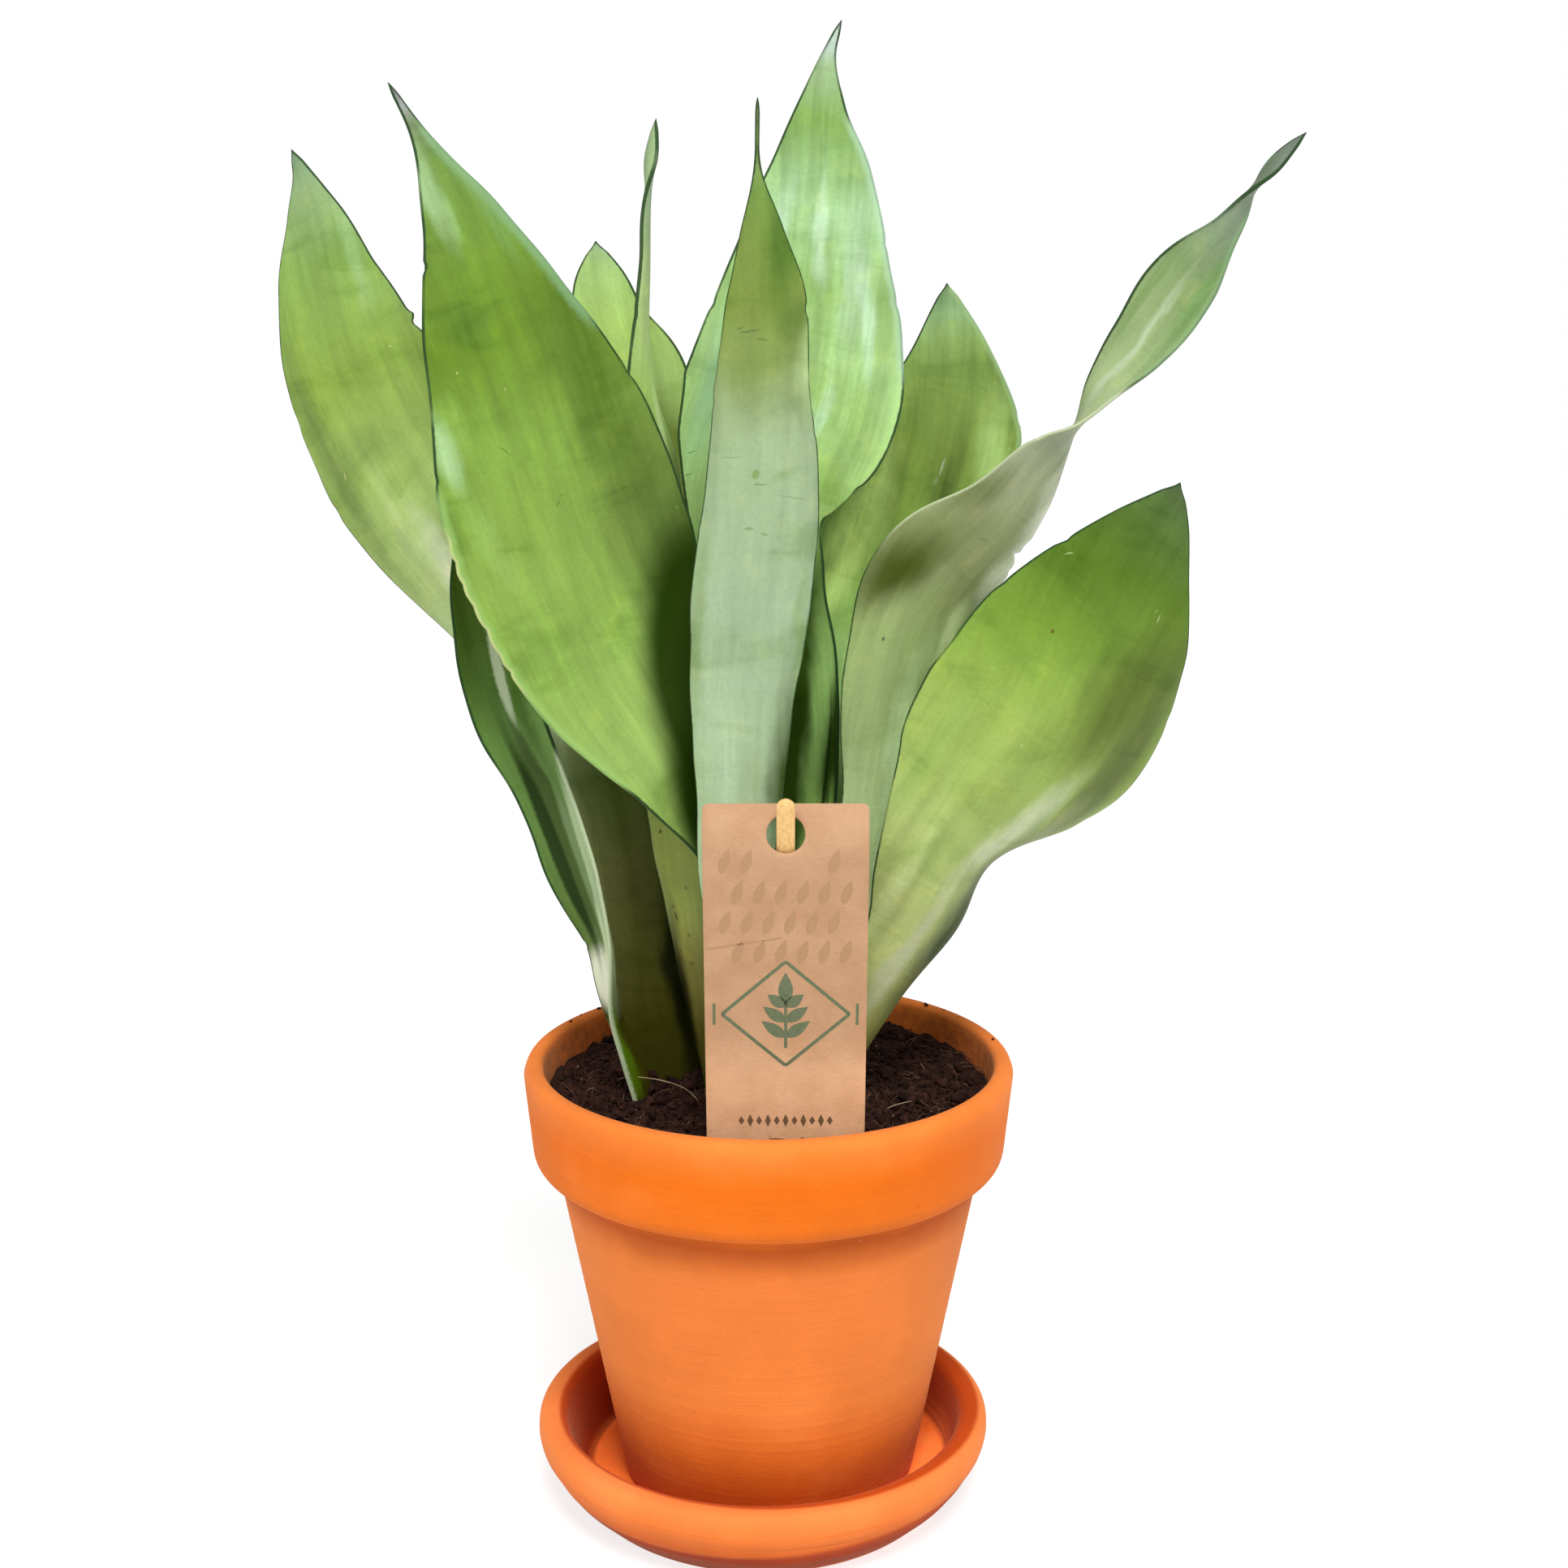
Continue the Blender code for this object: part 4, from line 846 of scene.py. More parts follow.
def blade_piece(node, material, front, back, at, across, to_margin):
    """The closed mesh of a blade's two faces, which share their margins' points."""
    count, columns = across.shape
    loop = 2 * columns - 2
    points = np.concatenate([front, back[:, -2:0:-1]], axis=1).reshape(-1, 3)
    order = np.concatenate([np.arange(columns), np.arange(columns - 2, 0, -1)])
    side = np.ones((count, loop))
    side[:, columns:] = -1.0
    side[:, [0, columns - 1]] = 0.0
    along = np.repeat(at[:, None], loop, axis=1)
    vectors = {
        "leaf_place": np.stack([across[:, order], along, side], axis=2),
        "leaf_form": np.stack([along / at[-1], to_margin[:, order], np.zeros_like(along)], axis=2),
    }
    i = np.arange(count - 1)[:, None] * loop
    j = np.arange(loop)[None, :]
    k = (j + 1) % loop
    faces = np.stack([i + j, i + loop + j, i + loop + k, i + k], axis=2).reshape(-1, 4).tolist()
    for ring, flip in ((0, False), ((count - 1) * loop, True)):
        for c in range(columns - 1):
            corners = [ring + c, ring + c + 1, ring + (loop - c - 1) % loop, ring + (loop - c) % loop]
            corners = list(dict.fromkeys(corners))
            faces.append(corners[::-1] if flip else corners)
    name = node.replace("leaf", "blade")
    return mesh_piece(name, points, faces, material, node, vectors)


def paint_areas(s, colour, flat, inner, areas, soft):
    """Mixes the look's patches or marks into the colour, each on its own face."""
    outer = s.math("SUBTRACT", 1.0, inner)
    for face, along, across, length, width, turn, paint, strength in areas:
        on = s.spot(flat, (across, along), (width, length), turn, soft)
        colour = s.mix(s.times(on, inner if face > 0 else outer, strength), colour, paint)
    return colour


def paint_hems(coat, colour, hems):
    """Mixes strips along the margins into the colour."""
    s = coat.s
    for margin, start, end, depth, paint, strength in hems:
        near = s.remap(s.math("MULTIPLY_ADD", coat.grain, 0.5 * depth, coat.rim), 1.25 * depth, 0.55 * depth)
        near = s.times(near, s.remap(s.times(coat.across, margin), 0.0, 1.0))
        window = s.times(s.remap(coat.along, start - 4, start + 4), s.remap(coat.along, end + 3, end - 3))
        colour = s.mix(s.times(near, window, strength), colour, paint)
    return colour


class LeafCoat:
    """What all layers of a leaf's material read: places on the blade in mm, and noises that follow it."""

    def __init__(self, name, seed):
        s = self.s = Shade(name)
        self.across, self.along, side = s.split(s.attribute("leaf_place"))
        self.share, self.rim = s.split(s.attribute("leaf_form"))[:2]
        self.seeded = s.join(self.across, self.along, seed)
        self.inner = s.remap(side, -0.3, 0.3)
        self.grain = s.noise(self.seeded, 0.9, 3.0)
        self.bands = self.drawn_out((0.035, 0.085, 1.0), 4.0, 0.55, 0.8)
        self.wide = self.drawn_out((0.17, 0.018, 2.0), 3.0, 0.6)
        self.fine = self.drawn_out((0.9, 0.03, 3.0))

    def drawn_out(self, scale, detail=2.0, roughness=0.5, distortion=0.0):
        """A noise with its own scale across, along and from leaf to leaf."""
        return self.s.noise(self.s.stretch(self.seeded, scale), 1.0, detail, roughness, distortion)


def leaf_ground(coat, look):
    """The colour along each face, with its soft patches. Some stops and patches are painted shade and painted
    light.
    """
    s = coat.s
    wander = s.sway(coat.share, coat.drawn_out((0.05, 0.03, 1.0)), 0.05)
    colour = s.mix(coat.inner, s.ramp(wander, look["outer"]), s.ramp(wander, look["inner"]))
    warped = s.join(s.sway(coat.across, coat.drawn_out((0.12, 0.05, 1.0)), 7.0), coat.along)
    return paint_areas(s, colour, warped, coat.inner, look["patches"], PATCH_SOFTNESS)


def leaf_growth(coat, colour, look):
    """Adds dark and pale cross bands, lengthwise streaks, fine grain and a faint warm blush."""
    s = coat.s
    dark = s.times(s.remap(coat.bands, 0.48, 0.7), look["bands"])
    colour = s.tint(dark, colour, (0.52, 0.62, 0.36))
    pale = s.times(s.remap(coat.bands, 0.5, 0.3), 0.6 * look["bands"])
    colour = s.tint(pale, colour, (1.16, 1.12, 1.25))
    broad_streak = s.remap(coat.wide, 0.25, 0.75, -0.75, 0.75)
    streak = s.math("ADD", broad_streak, s.remap(coat.fine, 0.25, 0.75, -0.16, 0.16))
    colour = s.tone(colour, s.math("MULTIPLY_ADD", streak, look["streaks"], 1.0))
    colour = s.tone(colour, s.remap(coat.grain, 0.2, 0.8, 0.93, 1.07, smooth=False))
    blush = s.remap(s.noise(coat.seeded, 0.14, 2.0), 0.55, 0.8, 0.0, 0.6)
    return s.tint(blush, colour, (1.3, 1.18, 1.0))


def leaf_wear_and_painted_shade(coat, colour, look):
    """Adds marks, some of them painted shade, pin points, the thin dark margin, and hems, one partly a
    painted highlight.
    """
    s = coat.s
    jagged = s.join(s.sway(coat.across, coat.grain, 0.7), s.sway(coat.along, coat.fine, 0.7))
    colour = paint_areas(s, colour, jagged, coat.inner, look["marks"], MARK_SOFTNESS)
    colour = s.specks(colour, coat.seeded, 0.1, (0.0112, 0.028), 0.8, (0.42, 0.48, 0.26), 0.6)
    colour = s.specks(colour, coat.seeded, 0.08, (0.012, 0.03), 0.8, (0.08, 0.09, 0.02), 0.6)
    edge = s.remap(s.math("MULTIPLY_ADD", coat.grain, 0.3, coat.rim), 0.85, 0.5)
    there = s.remap(coat.drawn_out((0.02, 0.05, 5.0)), 0.3, 0.5, 0.4, 0.95)
    colour = s.mix(s.times(edge, there), colour, DARK_MARGIN)
    return paint_hems(coat, colour, look["hems"])


def leaf_material(name, look, seed):
    """A leathery leaf: its colours, a gloss that is weaker where it is dark, and fine lengthwise relief."""
    coat = LeafCoat(name, seed)
    s = coat.s
    colour = leaf_wear_and_painted_shade(coat, leaf_growth(coat, leaf_ground(coat, look), look), look)
    s.own({"Specular IOR Level": s.remap(s.split(colour)[1], 0.02, 0.2, 0.02, 0.22)})
    roughness = s.vary(s.weigh(coat.wide, coat.grain, 0.4), 0.4, 0.54)
    relief = s.weigh(coat.fine, s.noise(coat.seeded, 2.2, 2.0), 0.2)
    normal = s.bump(coat.bands, 0.0006, 0.3, s.bump(relief, 0.00008, 0.5))
    return s.finish(colour, roughness, normal)


# Turned clay
TURNED_SEGMENTS = 256
PROFILE_SPACING = 1.3
FILLET_STEPS = 8
ON_AXIS = 1e-6
THROW_HEIGHT = 0.05
SAUCER_LINES = ((12.5, 1.2), (9.2, 1.0))  # height and half width of the two lines on its belly
SAUCER_LINE_DEPTH = 0.22


def fillet(profile):
    """An outline from corners of (radius, z, rounding), each rounded by its own distance."""
    rounded = []
    count = len(profile)
    for i, (radius, z, rounding) in enumerate(profile):
        corner = Vector((radius, z))
        if not rounding:
            rounded.append(corner)
            continue
        before, after = Vector(profile[i - 1][:2]), Vector(profile[(i + 1) % count][:2])
        start = corner + (before - corner).normalized() * rounding
        end = corner + (after - corner).normalized() * rounding
        for k in range(FILLET_STEPS + 1):
            t = k / FILLET_STEPS
            rounded.append(start * (1 - t) ** 2 + corner * 2 * t * (1 - t) + end * t**2)
    return rounded


def finer(outline, spacing):
    """The closed outline with its long straight stretches divided."""
    points = []
    for here, there in zip(outline, outline[1:] + outline[:1]):
        parts = max(1, int((there - here).length / spacing))
        points += [here.lerp(there, k / parts) for k in range(parts)]
    return points


def skin(circles, closed=False):
    """Points and faces of a skin over circles of points. A circle of one point is a pole."""
    points, rings = [], []
    for circle in circles:
        rings.append(range(len(points), len(points) + len(circle)))
        points += circle
    if closed:
        rings.append(rings[0])
    count = max(len(ring) for ring in rings)
    faces = []
    for low, high in zip(rings, rings[1:]):
        for k in range(count):
            n = (k + 1) % count
            if len(low) == 1:
                faces.append((low[0], high[k], high[n]))
            elif len(high) == 1:
                faces.append((low[n], low[k], high[0]))
            else:
                faces.append((low[k], high[k], high[n], low[n]))
    return points, faces


def turned_piece(name, outline, relief, material, node, shift_x=0.0):
    """A finely turned solid. relief(radius, z, turns) pushes the wall out. Radius 0 makes a pole."""
    turns = np.linspace(0, 2 * math.pi, TURNED_SEGMENTS, endpoint=False)
    circles = []
    for radius, z in outline:
        if radius < ON_AXIS:
            circles.append([(shift_x, 0.0, z)])
            continue
        r = radius + relief(radius, z, turns)
        circle = np.stack([shift_x + r * np.cos(turns), r * np.sin(turns), np.full(len(r), z)], axis=1)
        circles.append(circle.tolist())
    points, faces = skin(circles, closed=len(circles[0]) > 1)
    return mesh_piece(name, points, [face[::-1] for face in faces], material, node)


def throwing_lines(radius, z, turns):
    """Faint uneven lines round the clay, and a slightly uneven round."""
    lines = math.sin(z * 2.1) + 0.6 * math.sin(z * 3.7 + 1) + 0.8 * math.sin(z * 0.9 + 2)
    return THROW_HEIGHT * (0.25 * lines + 0.8 * np.sin(2 * turns + z / 40) + 0.3 * np.sin(7 * turns + z / 9))


def saucer_lines(radius, z, turns):
    """The same, with two clear lines on the outside of the saucer's belly."""
    wall = throwing_lines(radius, z, turns)
    if radius > SAUCER_MOUTH_RADIUS + 1.3:
        for place, width in SAUCER_LINES:
            wall = wall - SAUCER_LINE_DEPTH * math.exp(-(((z - place) / width) ** 2))
    return wall


def pot_inner_radius(z):
    if z > POT_COLLAR_Z:
        return POT_MOUTH_RADIUS - POT_COLLAR_TAPER * (POT_TOP - z) / POT_COLLAR_HEIGHT
    share = (POT_COLLAR_Z - z) / (POT_COLLAR_Z - POT_BOTTOM)
    return POT_BODY_TOP_RADIUS + (POT_FOOT_RADIUS - POT_BODY_TOP_RADIUS) * share - POT_WALL


def clay_colour(s, mm, z, heights, cloud, rings, grain):
    """The clay's colour by height, with clouds, turned lines, grain and specks. The heights can hold painted
    shade.
    """
    low, high = heights[0][0], heights[-1][0]
    stops = [((height - low) / (high - low), *colour) for height, *colour in heights]
    wave = s.sway(z, s.noise(mm, 0.05, 2.0), 5.0)
    colour = s.ramp(s.remap(wave, low, high, smooth=False), stops)
    colour = s.tone(colour, s.vary(cloud, 0.94, 1.06))
    colour = s.mix(s.remap(cloud, 0.52, 0.75, 0.0, 0.14), colour, (0.80, 0.29, 0.09))
    colour = s.tone(colour, s.vary(rings, 0.985, 1.015))
    belly = s.times(s.remap(rings, 0.56, 0.68), s.remap(z, 19.0, 14.0, 0.0, 0.7))
    colour = s.tint(belly, colour, (0.62, 0.45, 0.35))
    colour = s.tone(colour, s.remap(grain, 0.25, 0.75, 0.95, 1.05))
    colour = s.specks(colour, mm, 0.16, (0.0165, 0.055), 0.75, (0.2, 0.05, 0.015), 0.55)
    return s.specks(colour, mm, 0.3, (0.021, 0.07), 0.86, (0.9, 0.5, 0.3), 0.55)


def stain_inside(s, mm, colour, far, z):
    """A dark stain where damp soil meets the inside of the collar."""
    wall = s.remap(far, POT_MOUTH_RADIUS + 1.0, POT_MOUTH_RADIUS - 0.5)
    below_rim = s.remap(z, POT_TOP + 1.0, POT_TOP - 5.0)
    above_foot = s.remap(z, POT_COLLAR_Z + 2.0, POT_COLLAR_Z + 6.0)
    patchy = s.remap(s.noise(mm, 0.3, 3.0), 0.35, 0.7, 0.35, 0.9)
    return s.mix(s.times(wall, below_rim, above_foot, patchy), colour, (0.36, 0.085, 0.018))


def clay_material(name, heights, stained=False, painted_light_and_shade_rings=()):
    """Terracotta. The given rings multiply the colour between two distances from the axis, as painted light
    and shade.
    """
    s = Shade(name)
    mm = s.place_mm()
    x, y, z = s.split(mm)
    far = s.math("POWER", s.math("ADD", s.math("POWER", x, 2.0), s.math("POWER", y, 2.0)), 0.5)
    cloud = s.noise(mm, 0.035, 3.0, 0.55)
    rings = s.noise(s.stretch(mm, (0.012, 0.012, 0.9)), 1.0, 3.0)
    grain = s.noise(mm, 2.4, 3.0, 0.65)
    colour = clay_colour(s, mm, z, heights, cloud, rings, grain)
    if stained:
        colour = stain_inside(s, mm, colour, far, z)
    for inner, outer, by in painted_light_and_shade_rings:
        on = s.times(s.remap(far, inner - 0.8, inner + 0.8), s.remap(far, outer + 0.8, outer - 0.8))
        colour = s.tint(on, colour, by)
    s.own({
        "Sheen Weight": 0.16, "Sheen Roughness": 0.5, "Sheen Tint": (1.0, 0.62, 0.36, 1.0),
        "Specular IOR Level": 0.06,
    })
    pores = s.math("ADD", grain, s.times(s.noise(mm, 0.9, 2.0), 0.8))
    normal = s.bump(rings, 0.0004, 0.4, s.bump(pores, 0.00016, 0.6))
    return s.finish(colour, s.vary(s.weigh(grain, cloud, 0.5), 0.68, 0.86), normal)


def make_saucer():
    profile = [
        (0.0, 0.0, 0), (SAUCER_FOOT_RADIUS, 0.0, 2.0), (*SAUCER_SHOULDER, 4.0),
        (SAUCER_RADIUS, SAUCER_BELLY, 3.0), (SAUCER_RIM_RADIUS, SAUCER_HEIGHT, 3.2),
        (SAUCER_MOUTH_RADIUS, SAUCER_HEIGHT, 3.2), (SAUCER_WELL_RADIUS, SAUCER_FLOOR, 4.5),
        (0.0, SAUCER_FLOOR, 0),
    ]
    # The dark lowest stops are painted shade on the saucer's lower belly.
    heights = [
        (0, 0.28, 0.04, 0.012), (7, 0.42, 0.065, 0.012), (12, 0.63, 0.12, 0.014), (18, 0.76, 0.185, 0.035),
        (24, 0.78, 0.21, 0.05),
    ]
    # Painted light on the saucer's floor, and painted shade on its inner wall.
    saucer_light_and_shade = [(-2.0, 48.5, (2.4, 3.0, 2.6)), (50.0, 57.6, (0.60, 0.26, 0.02))]
    clay = clay_material("saucer_terracotta", heights, painted_light_and_shade_rings=saucer_light_and_shade)
    outline = finer(fillet(profile), PROFILE_SPACING)
    outline = [p for p in outline if p.x > ON_AXIS or not 0.01 < p.y < SAUCER_FLOOR - 0.01]
    turned_piece("clay_saucer", outline, saucer_lines, clay, "saucer", SAUCER_SHIFT_X)


def make_pot():
    profile = [
        (POT_DRAIN_RADIUS, POT_BOTTOM, 0.6), (POT_FOOT_RADIUS, POT_BOTTOM, 1.5),
        (POT_BODY_TOP_RADIUS, POT_COLLAR_Z - POT_UNDERCUT, 1.2), (POT_COLLAR_FOOT_RADIUS, POT_COLLAR_Z, 4.0),
        (POT_RIM_RADIUS, POT_TOP - POT_RIM_DROP, 0), (POT_RIM_RADIUS - 1.0, POT_TOP, 1.9),
        (POT_MOUTH_RADIUS, POT_TOP, 1.9), (POT_MOUTH_RADIUS - POT_COLLAR_TAPER, POT_COLLAR_Z, 3.0),
        (pot_inner_radius(POT_SHELF_Z), POT_SHELF_Z, 3.0), (pot_inner_radius(POT_FLOOR_Z), POT_FLOOR_Z, 4.0),
        (POT_DRAIN_RADIUS, POT_FLOOR_Z, 0.6),
    ]
    # The dark stop at 92.5 mm is painted shade under the collar. The clay also darkens towards its foot.
    heights = [
        (6, 0.52, 0.064, 0.002), (18, 0.57, 0.08, 0.003), (28, 0.62, 0.115, 0.009), (45, 0.69, 0.175, 0.030),
        (84, 0.72, 0.185, 0.036), (92.5, 0.48, 0.09, 0.014), (98, 0.68, 0.142, 0.010),
        (112, 0.71, 0.135, 0.004), (124, 0.78, 0.20, 0.034),
    ]
    clay = clay_material("pot_terracotta", heights, stained=True)
    outline = finer(fillet(profile), PROFILE_SPACING)
    turned_piece("clay_pot", outline, throwing_lines, clay, "pot")


# Soil
SOIL_RINGS = 70
SOIL_SEGMENTS = 170
SOIL_FINE_CRUMBS = ((0.9, 0.8, 2.0), (0.5, 1.9, 5.0))  # height, scale and seed
CRUMBS = 1050
CRUMB_SIZES = (0.7, 2.0)
CRUMB_BUMPS = 0.35
CRUMB_ROUGHNESS = 0.16
CRUMB_STRETCH = (0.6, 1.35)
CRUMB_LIFT = (-0.1, 0.6)  # in its own size
SMALL_CRUMBS = 3600
SMALL_CRUMB_SIZES = (0.25, 0.7)
CARD_CLEARANCE = 2.0
CLEAR_BEFORE_Y = -34.0
FIBRES = 260
FIBRE_LENGTHS = (3, 10)
FIBRE_LIFTS = (0.3, 1.6)
FIBRE_RADII = (0.06, 0.15)
FIBRE_BEND = 0.25
FIBRE_STEPS = 8
ROOTS = [((-41.0, 1.0), (-17.5, -15.5), 6.5, -5.0), ((27.0, -24.0), (40.0, -12.0), 2.6, -1.5)]
ROOT_RADIUS = 0.13
ROOT_SINK = 0.6
ROOT_STEPS = 24
SEATED_CRUMBS = 14
SEATED_ARCS = ((0.1, 1.6), (2.1, 2.7), (2.1, 2.7))


def by_card(x, y):
    """Whether a place lies where the card stands or in front of it. Crumbs keep clear of that strip."""
    return abs(x - CARD_CENTRE_X) < CARD_WIDTH / 2 + CARD_CLEARANCE and y < CLEAR_BEFORE_Y


def soil_height(x, y):
    """The CAD soil's surface with finer crumbs on it."""
    far = math.hypot(x, y) / POT_MOUTH_RADIUS
    coarse, fine = SOIL_CRUMB_SCALES
    crumbs = noise.noise(Vector((x, y, 4.0)) * coarse) + 0.5 * noise.noise(Vector((x, y, 9.0)) * fine)
    small = sum(rise * noise.noise(Vector((x, y, seed)) * scale) for rise, scale, seed in SOIL_FINE_CRUMBS)
    if by_card(x, y):
        small = min(small, 0.0) - 0.5
    return SOIL_TOP + SOIL_RISE * far**2 + SOIL_BUMP * crumbs + small


def soil_body():
    """Points and faces of the soil: a fine top, a wall and a flat bottom."""
    edge = pot_inner_radius(SOIL_TOP) - SOIL_EDGE_CLEARANCE
    turns = [2 * math.pi * k / SOIL_SEGMENTS for k in range(SOIL_SEGMENTS)]
    circles = [[(0.0, 0.0, soil_height(0.0, 0.0))]]
    for ring in range(1, SOIL_RINGS + 1):
        r = edge * ring / SOIL_RINGS
        places = [(r * math.cos(a), r * math.sin(a)) for a in turns]
        circles.append([(x, y, soil_height(x, y)) for x, y in places])
    for z, clearance in SOIL_WALL:
        r = pot_inner_radius(z) - clearance
        circles.append([(r * math.cos(a), r * math.sin(a), z) for a in turns])
    circles.append([(0.0, 0.0, POT_FLOOR_Z + GAP)])
    return skin(circles)


def small_ball():
    """Points and triangles of a round solid with 20 sides."""
    g = (1 + 5**0.5) / 2
    points = [(-1, g, 0), (1, g, 0), (-1, -g, 0), (1, -g, 0), (0, -1, g), (0, 1, g), (0, -1, -g), (0, 1, -g)]
    points += [(g, 0, -1), (g, 0, 1), (-g, 0, -1), (-g, 0, 1)]
    faces = [(0, 11, 5), (0, 5, 1), (0, 1, 7), (0, 7, 10), (0, 10, 11), (1, 5, 9), (5, 11, 4), (11, 10, 2)]
    faces += [(10, 7, 6), (7, 1, 8), (3, 9, 4), (3, 4, 2), (3, 2, 6), (3, 6, 8), (3, 8, 9), (4, 9, 5)]
    faces += [(2, 4, 11), (6, 2, 10), (8, 6, 7), (9, 8, 1)]
    return unit(np.array(points, float)), faces


def rounder(points, faces):
    """The same with each triangle divided into four."""
    points, halves, quarters = list(points), {}, []
    for a, b, c in faces:
        mids = []
        for p, q in ((a, b), (b, c), (c, a)):
            key = (min(p, q), max(p, q))
            if key not in halves:
                halves[key] = len(points)
                points.append((points[p] + points[q]) / 2)
            mids.append(halves[key])
        quarters += [(a, mids[0], mids[2]), (b, mids[1], mids[0]), (c, mids[2], mids[1]), tuple(mids)]
    return unit(np.array(points)), quarters


def lump(centre, size, base):
    """Points of one irregular crumb."""
    bumps = 1 + CRUMB_BUMPS * np.sin(base @ rng.uniform(-3, 3, 3) + rng.uniform(0, 6))
    bumps = bumps + rng.uniform(-CRUMB_ROUGHNESS, CRUMB_ROUGHNESS, len(base))
    stretch = rng.uniform(*CRUMB_STRETCH, 3)
    spin = np.linalg.qr(rng.normal(size=(3, 3)))[0]
    if np.linalg.det(spin) < 0:
        spin[:, 0] = -spin[:, 0]
    return (base * bumps[:, None] * stretch) @ spin.T * size + centre


def tube_faces(rings, sides):
    """Faces of a tube of rings of points, closed at both ends."""
    faces = []
    for i in range(rings - 1):
        for k in range(sides):
            n = (k + 1) % sides
            faces.append((i * sides + k, i * sides + n, (i + 1) * sides + n, (i + 1) * sides + k))
    faces.append(tuple(range(sides - 1, -1, -1)))
    faces.append(tuple((rings - 1) * sides + k for k in range(sides)))
    return faces


def thread(path, radius, sides):
    """Points and faces of a thin tapering tube along a path."""
    path = np.array(path, float)
    tangent = unit(np.gradient(path, axis=0))
    side = unit(np.cross(tangent, (0.31, 0.22, 0.93)))
    other = np.cross(tangent, side)
    thin = radius * (0.35 + 0.65 * np.sin(np.linspace(0.25, math.pi - 0.25, len(path))))[:, None]
    turns = [2 * math.pi * k / sides for k in range(sides)]
    points = np.stack([path + (side * math.cos(a) + other * math.sin(a)) * thin for a in turns], axis=1)
    return points.reshape(-1, 3), tube_faces(len(path), sides)


class Heap:
    """Gathers the points and faces of many small solids into one mesh."""

    def __init__(self):
        self.points, self.faces, self.count = [], [], 0

    def add(self, points, faces):
        self.faces += [tuple(self.count + v for v in face) for face in faces]
        self.points.append(np.asarray(points, float))
        self.count += len(self.points[-1])

    def piece(self, name, material, slot, node=None):
        return mesh_piece(name, np.concatenate(self.points), self.faces, material, node)


def soil_material():
    """Damp peat: dark red-brown crumbs with paler flecks."""
    s = Shade("peat")
    mm = s.place_mm()
    coarse = s.noise(mm, 0.35, 3.0, 0.6)
    fine = s.noise(mm, 1.6, 4.0, 0.7)
    colour = s.ramp(s.weigh(coarse, fine, 0.5), [
        (0.3, 0.006, 0.002, 0.0015), (0.45, 0.018, 0.006, 0.004), (0.55, 0.038, 0.013, 0.008),
        (0.65, 0.075, 0.027, 0.015), (0.78, 0.15, 0.062, 0.033),
    ])
    colour = s.specks(colour, mm, 0.5, (0.1, 0.2), 0.9, (0.2, 0.13, 0.08), 1.0)
    s.own({"Specular IOR Level": 0.15})
    return s.finish(colour, s.vary(fine, 0.75, 0.98), s.bump(fine, 0.0006, 0.9))


def fibre_material(name, dark, pale):
    s = Shade(name)
    mm = s.place_mm()
    tone = s.noise(mm, 0.25, 2.0)
    colour = s.ramp(tone, [(0.3, *dark), (0.7, *pale)])
    return s.finish(colour, s.vary(tone, 0.7, 0.9), s.bump(s.noise(mm, 3.0), 0.0001, 0.5))


def make_soil():
    """The soil with its crumbs, what lies on it, and the crumbs on the rim."""
    peat = soil_material()
    small = small_ball()
    large = rounder(*small)
    heap = Heap()
    heap.add(*soil_body())
    edge = pot_inner_radius(SOIL_TOP) - 2.0
    least, most = CRUMB_SIZES
    for k in range(CRUMBS + SMALL_CRUMBS):
        r, a = edge * math.sqrt(rng.uniform(0, 1)), rng.uniform(0, 2 * math.pi)
        if k < CRUMBS:
            size = least + (most - least) * rng.uniform(0, 1) ** 3
        else:
            size = rng.uniform(*SMALL_CRUMB_SIZES)
        x, y = (r - size) * math.cos(a), (r - size) * math.sin(a)
        if by_card(x, y):
            continue
        z = soil_height(x, y) + size * rng.uniform(*CRUMB_LIFT)
        base, faces = large if k < CRUMBS else small
        heap.add(lump((x, y, z), size, base), faces)
    heap.piece("peat_soil", peat, "soil", "soil")
    make_fibres()
    make_roots()
    make_seated_crumbs(peat, *large)


def make_fibres():
    """Short dark fibres that lie on the soil."""
    heap = Heap()
    edge = pot_inner_radius(SOIL_TOP) - 7.0
    for _ in range(FIBRES):
        r, a = edge * math.sqrt(rng.uniform(0, 1)), rng.uniform(0, 2 * math.pi)
        way, bend = rng.uniform(0, 2 * math.pi), rng.uniform(-FIBRE_BEND, FIBRE_BEND)
        step = rng.uniform(*FIBRE_LENGTHS) / FIBRE_STEPS
        lift = rng.uniform(*FIBRE_LIFTS)
        x, y, path = r * math.cos(a), r * math.sin(a), []
        for k in range(FIBRE_STEPS + 1):
            rise = 0.25 + lift * math.sin(math.pi * k / FIBRE_STEPS)
            path.append((x, y, soil_height(x, y) + rise))
            x, y = x + math.cos(way) * step, y + math.sin(way) * step
            way += bend
        heap.add(*thread(path, rng.uniform(*FIBRE_RADII), 3))
    heap.piece("soil_fibres", fibre_material("soil_fibre", (0.05, 0.022, 0.012), (0.20, 0.10, 0.05)), "soil")


def make_roots():
    """The two long pale roots that the photograph shows."""
    heap = Heap()
    for start, end, rise, sway in ROOTS:
        heap.add(*long_root(start, end, rise, sway))
    heap.piece("pale_roots", fibre_material("pale_root", (0.30, 0.20, 0.11), (0.5, 0.38, 0.22)), "soil")


